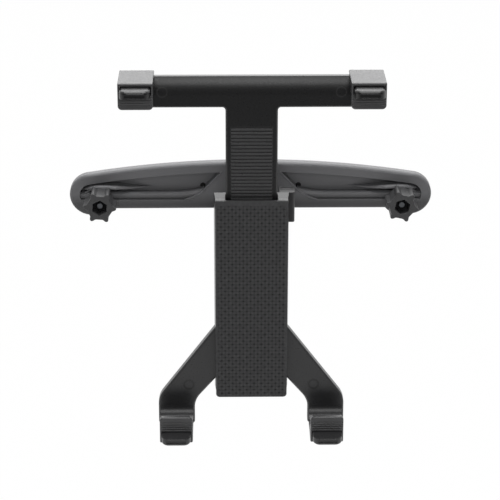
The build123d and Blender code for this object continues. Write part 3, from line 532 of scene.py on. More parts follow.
def add_on(piece: bpy.types.Object, body: str, material: bpy.types.Material) -> None:
    """Dress a new piece and let it ride on a body.

    Args:
        piece: New piece.
        body: Name of the body that it rides on.
        material: Finish of the piece.
    """
    piece.data.materials.append(material)
    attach(piece, body)
    log.info("%s: %d faces, rides on %s", piece.name, len(piece.data.polygons), body)


def stand_for(piece: bpy.types.Object, node: str, body: str,
              material: bpy.types.Material) -> None:
    """Dress a new piece, let it ride on a body, and hide the node that it stands for.

    Args:
        piece: New piece.
        node: Name of the node that it replaces.
        body: Name of the body that it rides on.
        material: Finish of the piece.
    """
    add_on(piece, body, material)
    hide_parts(node)


def dress(material: bpy.types.Material, *nodes: str) -> None:
    """Give each named node of the frame the same finish.

    Args:
        material: The finish.
        nodes: Names of the nodes.
    """
    for node in nodes:
        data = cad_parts[node].data
        data.materials.clear()
        data.materials.append(material)
        log.info("%s: %s", node, material.name)


@dataclass
class ReliefSlab:
    """Flat slab with rounded ends and a relief on one face.

    The slab lies in two axes, long and across, and the relief stands on its face along the third. A
    row of the grid is the slab's section at one place on the long axis: the relief from edge to edge,
    then the two back corners. Its half-width follows the rounded corners at both ends.
    """

    low: Vector
    high: Vector
    long_axis: int
    across_axis: int
    face_axis: int
    face_up: bool
    start_corner: float
    end_corner: float
    step: float
    relief: float

    def half_width(self, along: np.ndarray) -> np.ndarray:
        """Half-width of the slab at distances along it, less inside the rounded corners.

        Args:
            along: Distances from the slab's low end.

        Returns:
            The half-widths: full width, less a quarter circle's drop near each end.
        """
        full = (self.high[self.across_axis] - self.low[self.across_axis]) / 2
        length = self.high[self.long_axis] - self.low[self.long_axis]
        into_start = np.clip(self.start_corner - along, 0.0, None)
        into_end = np.clip(self.end_corner - (length - along), 0.0, None)
        drop = self.start_corner - np.sqrt(np.clip(self.start_corner**2 - into_start**2, 0.0, None))
        drop += self.end_corner - np.sqrt(np.clip(self.end_corner**2 - into_end**2, 0.0, None))
        return full - drop

    def build(self, name: str, height: Callable[[np.ndarray, np.ndarray], np.ndarray]) -> bpy.types.Object:
        """Make the slab.

        Args:
            name: Name of the piece.
            height: Relief as a share from 0 to 1, from coordinates across and along the slab.

        Returns:
            The new object.
        """
        low, high = np.array(self.low), np.array(self.high)
        length = high[self.long_axis] - low[self.long_axis]
        width = high[self.across_axis] - low[self.across_axis]
        rows = int(round(length / self.step)) + 1
        columns = int(round(width / self.step)) + 1
        along = np.linspace(0.0, length, rows)[:, None]
        across = np.linspace(-1.0, 1.0, columns)[None, :] * self.half_width(along)
        middle = (high[self.across_axis] + low[self.across_axis]) / 2
        share = height(across, np.broadcast_to(along, across.shape))
        face, back = high[self.face_axis], low[self.face_axis]
        sink = -self.relief
        if not self.face_up:
            face, back, sink = back, face, self.relief
        grid = np.zeros((rows, columns + 2, 3))
        grid[:, :, self.long_axis] = low[self.long_axis] + along
        grid[:, :columns, self.across_axis] = middle + across
        grid[:, columns, self.across_axis] = middle + across[:, -1]
        grid[:, columns + 1, self.across_axis] = middle + across[:, 0]
        grid[:, :columns, self.face_axis] = face + sink * (1.0 - share)
        grid[:, columns:, self.face_axis] = back
        piece = surface(name, grid, caps=True)
        points = np.empty(len(piece.data.vertices) * 3, dtype=np.float32)
        piece.data.vertices.foreach_get("co", points)
        depth = np.abs(points[self.face_axis::3] - face) / self.relief
        raised = piece.data.attributes.new(RELIEF, "FLOAT", "POINT")
        raised.data.foreach_set("value", np.clip(1.0 - depth, 0.0, 1.0).astype(np.float32))
        return piece


@dataclass
class GripPanel:
    """Grip strip with a woven look on the front of the column.

    It has grooves both ways, with deeper dots at every second crossing.
    """

    across_pitch: float = 2.025 * MM
    row_pitch: float = 2.03 * MM
    across_start: float = 1.45 * MM
    row_start: float = 0.8 * MM
    dot: float = 0.66 * MM
    groove: float = 0.36 * MM
    groove_share: float = 0.4
    border: float = 1.0 * MM
    border_plain: float = 0.6
    top_band: float = 2.4 * MM
    relief: float = 0.45 * MM
    step: float = 0.25 * MM
    corner: float = 2.0 * MM

    def weave(self, across: np.ndarray, along: np.ndarray) -> np.ndarray:
        """Height of the woven look.

        Strands show as small cushions between grooves that run up and across at the same pitch. A
        groove's section is a bell curve, and so is the deeper dot where strands cross, at every second
        crossing of a row and between them on the next. All of it fades out towards the strip's plain
        border and top band.

        Args:
            across: Coordinates across the strip, from its middle.
            along: Coordinates along the strip, from its low end.

        Returns:
            Heights from 0 to 1.
        """
        low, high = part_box("grip_panel")
        length, half = high.z - low.z, (high.x - low.x) / 2
        u = (across - self.across_start) / self.across_pitch
        v = (length - along - self.row_start) / self.row_pitch
        column, row = np.round(u), np.round(v)
        dx, dz = (u - column) * self.across_pitch, (v - row) * self.row_pitch
        crossed = 1.0 - (column + row) % 2
        dots = crossed * np.exp(-(dx**2 + dz**2) / self.dot**2)
        lines = self.groove_share * np.maximum(np.exp(-dx**2 / self.groove**2),
                                               np.exp(-dz**2 / self.groove**2))
        edge = np.clip((half - np.abs(across)) / self.border - self.border_plain, 0.0, 1.0)
        ends = np.clip((length - along - self.top_band) / self.border, 0.0, 1.0)
        ends = ends * np.clip(along / self.border - self.border_plain, 0.0, 1.0)
        return 1.0 - np.maximum(dots, lines) * edge * ends

    def build(self) -> None:
        """Make the woven-look strip in place of the plain panel."""
        low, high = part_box("grip_panel")
        slab = ReliefSlab(low, high, long_axis=2, across_axis=0, face_axis=1, face_up=False,
                          start_corner=self.corner, end_corner=0.0, step=self.step, relief=self.relief)
        stand_for(slab.build("woven_grip", self.weave), "grip_panel", "cradle",
                  WEAVE_PLASTIC.build())


@dataclass
class RubberFacings:
    """Ribbed rubber: strips that meet the posts, and facings inside the claws."""

    post_rib: float = 2.4 * MM
    claw_rib: float = 1.5 * MM
    rib_level: float = 0.6
    rib_swing: float = 0.8
    relief: float = 0.4 * MM
    step: float = 0.3 * MM
    corner: float = 2.0 * MM

    def ribs(self, pitch: float) -> Callable[[np.ndarray, np.ndarray], np.ndarray]:
        """Height of upright ribs.

        Args:
            pitch: Distance from rib to rib.

        Returns:
            A function of coordinates across and along: a cosine along the strip, with flat tops.
        """
        def height(across: np.ndarray, along: np.ndarray) -> np.ndarray:
            """Flat-topped cosine of the place along the strip."""
            wave = np.cos(2 * math.pi * along / pitch)
            return np.clip(self.rib_level + self.rib_swing * wave, 0.0, 1.0)
        return height

    def strip(self, name: str, node: str, body: str, face_up: bool, corner: float, pitch: float,
              material: bpy.types.Material) -> None:
        """Make one ribbed strip in place of a plain one.

        Args:
            name: Name of the piece.
            node: Node that it stands for.
            body: Body that it rides on.
            face_up: Whether its ribs face away from the viewer.
            corner: Radius of its corners.
            pitch: Distance from rib to rib.
            material: Its finish.
        """
        low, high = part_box(node)
        slab = ReliefSlab(low, high, long_axis=0, across_axis=2, face_axis=1, face_up=face_up,
                          start_corner=corner, end_corner=corner, step=self.step, relief=self.relief)
        stand_for(slab.build(name, self.ribs(pitch)), node, body, material)

    def build(self) -> None:
        """Make all the rubber."""
        rubber = PAD_RUBBER.build()
        for side in Side:
            tag = side.value
            self.strip(f"post_grip_{tag}", f"bracket_pad_{tag}", "bracket", True, self.corner,
                       self.post_rib, rubber)
            self.strip(f"clamp_grip_{tag}", f"clamp_pad_{tag}", "clamp", False, self.corner,
                       self.post_rib, rubber)
            for row in Row:
                self.strip(f"claw_facing_{row.value}_{tag}", f"claw_pad_{row.value}_{tag}",
                           f"claw_{row.value}_{tag}", True, 0.0, self.claw_rib, rubber)


@dataclass
class Screw:
    """Threaded screw with a rounded head and a driver recess.

    The screw is worked out along its own axis, from its tip to its head, and then turned into place.
    The recess's wall and the cross's half arm are shares of the recess's width, and its depth is a
    share of the head's height.
    """

    tip: Vector
    head: Vector
    shank_radius: float
    head_radius: float
    head_height: float
    recess: Recess
    recess_width: float
    recess_wall: float = 0.12
    recess_arm: float = 0.13
    recess_depth: float = 0.7
    pitch: float = 0.7 * MM
    thread_depth: float = 0.3 * MM
    plain_length: float = 2.0 * MM
    tip_bevel: float = 0.5 * MM
    head_round: float = 0.6 * MM
    rows_per_turn: int = 6
    shank_columns: int = 32
    head_columns: int = 72
    round_rows: int = 7
    face_rows: int = 34

    def place(self, radius: np.ndarray, angle: np.ndarray, height: np.ndarray) -> np.ndarray:
        """Turn places about the screw's axis, which is level, into points in the scene.

        Args:
            radius: Distances from the axis.
            angle: Angles about the axis.
            height: Heights above the tip.

        Returns:
            The points.
        """
        axis = np.array((self.head - self.tip).normalized())
        side = np.cross(axis, (0.0, 0.0, 1.0))
        side /= np.linalg.norm(side)
        other = np.cross(axis, side)
        flat = radius[..., None] * (np.cos(angle)[..., None] * side + np.sin(angle)[..., None] * other)
        return np.array(self.tip) + flat + height[..., None] * axis

    def shank(self) -> np.ndarray:
        """Points of the threaded shank.

        The radius dips and rises as a triangle wave of height over pitch less angle over one turn,
        which is a helix. The thread fades out below the head, and the tip is bevelled.

        Returns:
            Grid of points from the tip's middle to the shank's end inside the head.
        """
        length = (self.head - self.tip).length - self.head_height / 2
        rows = int(round(length / self.pitch * self.rows_per_turn))
        height = np.linspace(0.0, length, rows)[:, None]
        angle = full_turn(self.shank_columns)
        phase = (height / self.pitch - angle / (2 * math.pi)) % 1.0
        fade = np.clip((length - self.plain_length - height) / self.pitch, 0.0, 1.0)
        radius = self.shank_radius - self.thread_depth * fade * np.abs(2.0 * phase - 1.0)
        radius = np.minimum(radius, self.shank_radius - self.tip_bevel + height)
        pole = np.zeros((1, self.shank_columns))
        radius = np.vstack([pole, radius, pole])
        height = np.vstack([height[:1], height, height[-1:]])
        return self.place(*np.broadcast_arrays(radius, angle, height))

    def sunk(self, x: np.ndarray, y: np.ndarray) -> np.ndarray:
        """Depth of the driver recess as a share from 0 to 1.

        A cross is where a point is near either axis and not far along it. A hexagon is where the
        largest of the distances along three directions 60 degrees apart is below half its width.

        Args:
            x: Coordinates across the head.
            y: Coordinates up the head.

        Returns:
            Shares that fall from 1 inside the recess to 0 outside, over a narrow wall.
        """
        half = self.recess_width / 2
        if self.recess is Recess.CROSS:
            near, far = np.minimum(np.abs(x), np.abs(y)), np.maximum(np.abs(x), np.abs(y))
            inside = np.minimum(self.recess_arm * self.recess_width - near, half - far)
        else:
            turns = np.radians((0.0, 60.0, 120.0))[:, None, None]
            inside = half - np.abs(np.cos(turns) * x + np.sin(turns) * y).max(axis=0)
        return np.clip(inside / (self.recess_wall * self.recess_width) + 0.5, 0.0, 1.0)

    def cap(self) -> np.ndarray:
        """Points of the head.

        A row is a ring: the underside, the side, a quarter round at the rim, and then rings that
        close in on the middle and sink where the recess is.

        Returns:
            Grid of points from the underside's middle to the face's middle.
        """
        top = (self.head - self.tip).length
        low, turn = top - self.head_height, quarter_turn(self.round_rows)[0]
        rim = self.head_radius - self.head_round
        inner = np.linspace(rim, 0.0, self.face_rows)[1:]
        rings = np.concatenate([[0.0, self.head_radius], rim + self.head_round * np.cos(turn), inner])
        levels = np.concatenate([[low, low], top - self.head_round * (1.0 - np.sin(turn)),
                                 np.full(inner.shape, top)])
        angle = full_turn(self.head_columns)
        radius = np.broadcast_to(rings[:, None], (len(rings), self.head_columns))
        height = np.repeat(levels[:, None], self.head_columns, axis=1)
        share = self.sunk(radius * np.cos(angle), radius * np.sin(angle))
        # The underside, the side and the rounded rim stay whole.
        share[:2 + len(turn)] = 0.0
        height -= self.recess_depth * self.head_height * share
        return self.place(radius, np.broadcast_to(angle, radius.shape), height)

    def grids(self) -> tuple[np.ndarray, np.ndarray]:
        """Both closed shells of the screw: its shank and its head."""
        return self.shank(), self.cap()


@dataclass
class Fasteners:
    """The bolts and screws that show: threaded, each with its driver recess."""

    bolt_radius: float = 2.0 * MM
    bolt_head_height: float = 2.4 * MM
    bolt_socket: float = 2.5 * MM
    bolt_plain: float = 4.0 * MM
    cover_radius: float = 1.2 * MM
    cover_head_radius: float = 2.2 * MM
    cover_head_height: float = 1.25 * MM
    cover_head_round: float = 0.3 * MM
    cover_cross: float = 2.6 * MM
    cover_pitch: float = 0.9 * MM
    cover_plain: float = 0.5 * MM
    tilt_radius: float = 2.5 * MM
    tilt_socket: float = 3.0 * MM

    def clamp_bolts(self, steel: bpy.types.Material) -> None:
        """Make the two long bolts that the knobs pull on, with hex sockets at the back.

        Args:
            steel: Their finish.
        """
        for side in Side:
            node = f"clamp_bolt_{side.value}"
            low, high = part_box(node)
            x, z = (low.x + high.x) / 2, (low.z + high.z) / 2
            screw = Screw(Vector((x, low.y, z)), Vector((x, high.y, z)), self.bolt_radius,
                          (high.x - low.x) / 2, self.bolt_head_height, Recess.HEX, self.bolt_socket,
                          plain_length=self.bolt_plain)
            stand_for(surface(f"threaded_bolt_{side.value}", *screw.grids()), node, "clamp",
                      steel)

    def cover_screws(self, steel: bpy.types.Material) -> None:
        """Make the four screws that join the column's shells, with cross recesses.

        Args:
            steel: Their finish.
        """
        low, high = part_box("cover_screws")
        grids: list[np.ndarray] = []
        for x in (low.x + self.cover_head_radius, high.x - self.cover_head_radius):
            for z in (low.z + self.cover_head_radius, high.z - self.cover_head_radius):
                screw = Screw(Vector((x, low.y, z)), Vector((x, high.y, z)), self.cover_radius,
                              self.cover_head_radius, self.cover_head_height, Recess.CROSS,
                              self.cover_cross, pitch=self.cover_pitch, plain_length=self.cover_plain,
                              head_round=self.cover_head_round)
                grids.extend(screw.grids())
        stand_for(surface("cross_head_screws", *grids), "cover_screws", "cradle", steel)

    def tilt_bolt(self, steel: bpy.types.Material) -> None:
        """Make the pivot bolt of the tilt joint, with a hex socket at the right.

        Args:
            steel: Its finish.
        """
        low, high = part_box("tilt_bolt")
        ear_x = -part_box("tilt_nut")[1].x
        y, z = (low.y + high.y) / 2, (low.z + high.z) / 2
        screw = Screw(Vector((low.x, y, z)), Vector((high.x, y, z)), self.tilt_radius,
                      (high.z - low.z) / 2, high.x - ear_x, Recess.HEX, self.tilt_socket,
                      plain_length=2 * ear_x)
        stand_for(surface("tilt_pivot_bolt", *screw.grids()), "tilt_bolt", "bracket", steel)

    def build(self) -> None:
        """Make all the fasteners."""
        bright, dark = BRIGHT_STEEL.build(), DARK_STEEL.build()
        self.clamp_bolts(bright)
        self.cover_screws(dark)
        self.tilt_bolt(bright)


@dataclass
class HolePlugs:
    """Small domed rubber plugs that close the boss's two holes and show as dark dots."""

    x: float = 26.97 * MM
    z: float = 5.3 * MM
    radius: float = 1.58 * MM
    depth: float = 2.05 * MM
    dome: float = 0.25 * MM
    rings: int = 8
    columns: int = 40

    def build(self) -> None:
        """Make both plugs: a disc with a rear face domed as a parabola of the distance from its middle."""
        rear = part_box("bracket_pad_left")[0].y - self.dome
        angle = full_turn(self.columns)
        reach = np.linspace(0.0, 1.0, self.rings)
        share = np.concatenate([reach, reach[::-1]])[:, None]
        back = np.concatenate([np.full(self.rings, -self.depth),
                               self.dome * (1.0 - reach[::-1]**2)])[:, None]
        material = PAD_RUBBER.build()
        for side in Side:
            grid = np.stack(np.broadcast_arrays(
                side.sign * self.x + self.radius * share * np.cos(angle), rear + back,
                self.z + self.radius * share * np.sin(angle)), axis=-1)
            add_on(surface(f"boss_plug_{side.value}", grid), "bracket", material)


@dataclass
class LobedKnobs:
    """Clamp knobs: a hexagon with a flared lobe on each corner, and a hex pocket for the bolt's end."""

    left_turn: float = math.radians(-4.0)
    right_turn: float = math.radians(-12.0)
    flat_radius: float = 7.0 * MM
    corner_angle: float = math.radians(5.0)
    lobe_height: float = 1.5 * MM
    lobe_angle: float = math.radians(10.0)
    edge: float = 0.5 * MM
    pocket_flat: float = 3.85 * MM
    pocket_depth: float = 9.6 * MM
    pocket_bevel: float = 0.25 * MM
    bore: float = 2.3 * MM
    edge_rows: int = 5
    columns: int = 288

    def outline(self, angle: np.ndarray) -> np.ndarray:
        """Radius of the knob.

        It is the radius of a hexagon with rounded corners, plus a flat-topped bell curve of the angle
        from the nearest corner.

        Args:
            angle: Angles from a lobe.

        Returns:
            The radii.
        """
        off = (angle + math.pi / 6) % (math.pi / 3) - math.pi / 6
        flat = self.flat_radius / np.cos(math.pi / 6 - np.hypot(off, self.corner_angle))
        return flat + self.lobe_height * np.exp(-np.abs(off / self.lobe_angle)**3)

    def pocket(self, angle: np.ndarray) -> np.ndarray:
        """Radius of the hex pocket, whose corners lie between the lobes.

        Args:
            angle: Angles from a lobe.

        Returns:
            The radii.
        """
        off = angle % (math.pi / 3) - math.pi / 6
        return self.pocket_flat / np.cos(math.pi / 6 - np.abs(off))

    def build(self) -> None:
        """Make both knobs.

        A row of the grid is a ring, from the bore at the back round the outside, the rounded front
        edge and the pocket, and back along the bore.
        """
        material = KNOB_PLASTIC.build()
        angle = full_turn(self.columns)
        rim, pocket, bore = self.outline(angle), self.pocket(angle), np.full_like(angle, self.bore)
        bend = quarter_turn(self.edge_rows).T
        rings = np.vstack([bore, rim - self.edge / 2, rim, rim - self.edge * (1.0 - np.cos(bend)),
                           pocket + self.pocket_bevel, pocket, pocket, bore, bore])
        for side, turn in ((Side.LEFT, self.left_turn), (Side.RIGHT, self.right_turn)):
            node = f"knob_{side.value}"
            low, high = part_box(node)
            round_y = low.y + self.edge * (1.0 - np.sin(bend[:, 0]))
            floor = low.y + self.pocket_depth
            depths = np.concatenate([[high.y, high.y, high.y - self.edge / 2], round_y,
                                     [low.y, low.y + self.pocket_bevel, floor, floor, high.y]])[:, None]
            grid = np.stack(np.broadcast_arrays(
                (low.x + high.x) / 2 + rings * np.cos(angle + turn), depths,
                (low.z + high.z) / 2 + rings * np.sin(angle + turn)), axis=-1)
            stand_for(surface(f"lobed_knob_{side.value}", grid), node, node, material)


@dataclass
class BracketTrim:
    """Thin mouldings on the bracket's front: lips on the end ledges, bead ends, boss fairings and ridges.

    Each is worked out for the right side, and the left one is its mirror image.
    """

    front: float = -16.0 * MM
    web: float = -10.0 * MM
    sunk_in: float = 0.4 * MM
    arc_points: int = 9
    bolt_x: float = 84.3 * MM
    lip_start_x: float = 55.0 * MM
    lip_start_z: float = 5.3 * MM
    lip_z: float = 7.6 * MM
    lip_hook: tuple[float, float] = (10.3 * MM, 4.3 * MM)  # outwards, down
    lip_round: float = 1.6 * MM
    lip_thick: float = 1.75 * MM
    lip_proud: float = 1.2 * MM
    lip_slope: float = 0.6 * MM
    lip_points: tuple[int, int] = (60, 45)  # along the ledge, round the hook
    lip_hook_turn: float = math.radians(86.0)
    lip_least: float = 0.05
    lip_growth: float = 1.4
    lip_shrink: float = 0.75
    bead_x: tuple[float, float] = (43.0 * MM, 26.3 * MM)  # at the bead, at the boss
    bead_z: float = 2.72 * MM
    bead_rise: float = 2.3 * MM
    bead_front: float = -14.5 * MM
    bead_round: tuple[float, float] = (2.2 * MM, 1.5 * MM)  # at the bead, added at the boss
    bead_proud: float = 0.04 * MM
    bead_start: float = 0.25
    bead_foot: float = 0.3 * MM
    bead_points: int = 50
    boss_top: tuple[float, float] = (16.8 * MM, 15.35 * MM)  # x, z
    boss_slope: float = 11.7 / 12.55
    foot_z: tuple[float, float] = (-1.2 * MM, 3.6 * MM)  # low, high
    foot_reach: float = 5.5 * MM
    foot_round: float = 0.8 * MM
    foot_sink: float = 0.03 * MM
    foot_back: float = 1.0 * MM
    foot_points: int = 30
    ridge: float = 0.4 * MM
    ridge_points: tuple[int, int] = (70, 10)  # along, round

    def lip(self) -> np.ndarray:
        """Points of the lip on the end ledge.

        Its line rises in a smooth step towards the bolt and comes down beyond it on a quarter of an
        ellipse. Its section is a shelf that slopes to a quarter-round front edge, and it shrinks at
        both ends.

        Returns:
            Grid of points along the lip.
        """
        share = np.linspace(0.0, 1.0, self.lip_points[0])
        hook = np.linspace(0.0, self.lip_hook_turn, self.lip_points[1])[1:]
        x = np.concatenate([self.lip_start_x + (self.bolt_x - self.lip_start_x) * share,
                            self.bolt_x + self.lip_hook[0] * np.sin(hook)])
        rise = (self.lip_z - self.lip_start_z) * share**2 * (3.0 - 2.0 * share)
        z = np.concatenate([self.lip_start_z + rise,
                            self.lip_z - self.lip_hook[1] * (1.0 - np.cos(hook))])
        size = np.concatenate([np.clip(self.lip_growth * share, self.lip_least, 1.0),
                               1.0 - self.lip_shrink * (hook / hook[-1])**2])[:, None]
        front = self.web + (self.front - self.lip_proud - self.web) * size
        bend = quarter_turn(self.arc_points)
        radius, thick = self.lip_round * size, self.lip_thick * size
        back = np.full_like(front, self.web + self.sunk_in)
        section = np.hstack([self.lip_slope * size, -radius * (1.0 - np.cos(bend)), -thick, -thick])
        depth = np.hstack([back, front + radius * (1.0 - np.sin(bend)), front, back])
        return carried(np.stack([x, z], axis=-1), section, depth)

    def bead_end(self) -> np.ndarray:
        """Points of the bead's inner end.

        Its top line leaves the bead and rises as a parabola towards the boss, and the round of its top
        grows with it. Its front comes from just inside the bead to just proud of it.

        Returns:
            Grid of points along the bead's end.
        """
        share = np.linspace(0.0, 1.0, self.bead_points)[:, None]
        x = self.bead_x[0] + (self.bead_x[1] - self.bead_x[0]) * share
        top = self.bead_z + self.bead_rise * share**2
        radius = self.bead_round[0] + self.bead_round[1] * share**2
        front = self.bead_front + self.bead_proud * (1.0 - 2.0 * np.minimum(1.0, share / self.bead_start))
        bend = quarter_turn(self.arc_points)
        back, foot = np.full_like(share, self.web + self.sunk_in), np.full_like(share, self.bead_foot)
        y = np.hstack([back, front + radius * (1.0 - np.sin(bend)), front, back])
        z = np.hstack([top, top - radius * (1.0 - np.cos(bend)), foot, foot])
        return np.stack([np.broadcast_to(x, y.shape), y, z], axis=-1)

    def foot_edge(self, z: np.ndarray) -> np.ndarray:
        """Half width of the boss at a height: its slanted edge, which sweeps outwards at the foot.

        Args:
            z: Heights.

        Returns:
            Distances from the bracket's middle.
        """
        low, high = self.foot_z
        sweep = np.clip((high - z) / (high - low), 0.0, 1.0)
        return self.boss_top[0] + self.boss_slope * (self.boss_top[1] - z) + self.foot_reach * sweep**2

    def fairing(self) -> np.ndarray:
        """Points of the fairing that sweeps the boss's edge into the rail.

        A row is a level section: the front face, a quarter round at its outer edge, and the back.

        Returns:
            Grid of points up the fairing.
        """
        z = np.linspace(*self.foot_z, self.foot_points)[:, None]
        edge = self.foot_edge(z)
        inner = edge - self.foot_reach - self.foot_round
        bend = quarter_turn(self.arc_points)
        face = np.full_like(z, self.front + self.foot_sink)
        back = np.full_like(z, self.bead_front + self.foot_back)
        x = np.hstack([inner, edge - self.foot_round * (1.0 - np.sin(bend)), edge, inner])
        y = np.hstack([face, face + self.foot_round * (1.0 - np.cos(bend)), back, back])
        return np.stack([x, y, np.broadcast_to(z, x.shape)], axis=-1)

    def ridge_line(self) -> np.ndarray:
        """Points of the thin half-sunk ridge along the boss's edge: a small circle carried along it.

        Returns:
            Grid of points along the ridge.
        """
        z = np.linspace(self.boss_top[1], self.foot_z[0], self.ridge_points[0])
        line = np.stack([self.foot_edge(z) - self.ridge, z], axis=-1)
        turn = full_turn(self.ridge_points[1])
        section = np.repeat(self.ridge * np.sin(turn), len(z), axis=0)
        return carried(line, section, np.repeat(self.front + self.ridge * np.cos(turn), len(z), axis=0))

    def build(self) -> None:
        """Make every moulding on both sides."""
        material = BRACKET_PLASTIC.build()
        shapes = {"ledge_lip": self.lip, "bead_end": self.bead_end, "boss_fairing": self.fairing,
                  "boss_ridge": self.ridge_line}
        for side in Side:
            for name, shape in shapes.items():
                grid = shape() * (side.sign, 1.0, 1.0)
                add_on(surface(f"{name}_{side.value}", grid, caps=True), "bracket", material)


@dataclass
class TorsionSpring:
    """Return spring of the release lever: a close-wound coil with a straight leg on the column."""

    wire: float = 0.56 * MM
    turns: float = 3.25
    tail: float = 0.8 * MM
    rows_per_turn: int = 40
    leg_points: int = 12
    tail_points: int = 4
    columns: int = 12

    def line(self, low: Vector, high: Vector) -> np.ndarray:
        """Points along the wire's middle.

        The leg runs straight back from the column to the coil's left side. The coil then turns
        clockwise, seen from above, and climbs evenly. A short tail leaves along its tangent.

        Args:
            low: Lowest corner of the space that the spring fills.
            high: Highest corner of it.

        Returns:
            Points in order.
        """
        outer = (high.x - low.x) / 2
        x, y, radius = low.x + outer, high.y - outer, outer - self.wire / 2
        bottom, top = low.z + self.wire / 2, high.z - self.wire / 2
        share = np.linspace(0.0, 1.0, int(self.turns * self.rows_per_turn))
        angle = math.pi - 2 * math.pi * self.turns * share
        coil = np.stack([x + radius * np.cos(angle), y + radius * np.sin(angle),
                         bottom + (top - bottom) * share], axis=-1)
        leg_y = np.linspace(low.y, y, self.leg_points)[:-1]
        leg = np.stack([np.full_like(leg_y, x - radius), leg_y, np.full_like(leg_y, bottom)], axis=-1)
        ahead = np.array([math.sin(angle[-1]), -math.cos(angle[-1]), 0.0])
        tail = coil[-1] + np.linspace(0.0, self.tail, self.tail_points)[1:, None] * ahead
        return np.vstack([leg, coil, tail])

    def build(self) -> None:
        """Make the spring: a circle of the wire's radius carried along its line."""
        low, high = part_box("lever_spring")
        line = self.line(low, high)
        ahead = np.gradient(line, axis=0)
        ahead /= np.linalg.norm(ahead, axis=1, keepdims=True)
        up = np.array([0.0, 0.0, 1.0]) - ahead[:, 2:] * ahead
        up /= np.linalg.norm(up, axis=1, keepdims=True)
        side = np.cross(ahead, up)
        turn = full_turn(self.columns)[..., None]
        ring = np.cos(turn) * up[:, None, :] + np.sin(turn) * side[:, None, :]
        piece = surface("torsion_spring", line[:, None, :] + self.wire / 2 * ring, caps=True)
        stand_for(piece, "lever_spring", "cradle", BRIGHT_STEEL.build())


@dataclass
class PaddleCap:
    """Sunk top of the release lever's paddle, which closes its hollow just below the rim."""

    wall: float = 0.8 * MM
    hollow: float = 4.0 * MM
    drop: float = 0.35 * MM
    thick: float = 2.0 * MM
    width: float = 6.9 * MM
    dish: float = 0.25 * MM
    step: float = 0.2 * MM

    def dished(self, across: np.ndarray, along: np.ndarray) -> np.ndarray:
        """Height of the cap's top: a shallow dish, a product of two parabolas below its edges.

        Args:
            across: Coordinates across the cap, from its middle.
            along: Coordinates along it, from its low end.

        Returns:
            Heights from 0 to 1.
        """
        u, v = 2 * across / self.hollow, 2 * along / self.width - 1.0
        return 1.0 - np.clip((1.0 - u**2) * (1.0 - v**2), 0.0, 1.0)

    def build(self) -> None:
        """Make the cap inside the paddle's hollow."""
        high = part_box("release_lever")[1]
        top = Vector((high.x - self.wall, high.y - self.wall, high.z - self.drop))
        low = top - Vector((self.width, self.hollow, self.thick))
        slab = ReliefSlab(low, top, long_axis=0, across_axis=1, face_axis=2, face_up=True,
                          start_corner=0.0, end_corner=0.0, step=self.step, relief=self.dish)
        add_on(slab.build("paddle_cap", self.dished), "lever", COLUMN_PLASTIC.build())


@dataclass(frozen=True)
class SoftBox:
    """Square lamp: its name, its place and width in metres, and its power in watts."""

    name: str
    place: tuple[float, float, float]
    width: float
    power: float


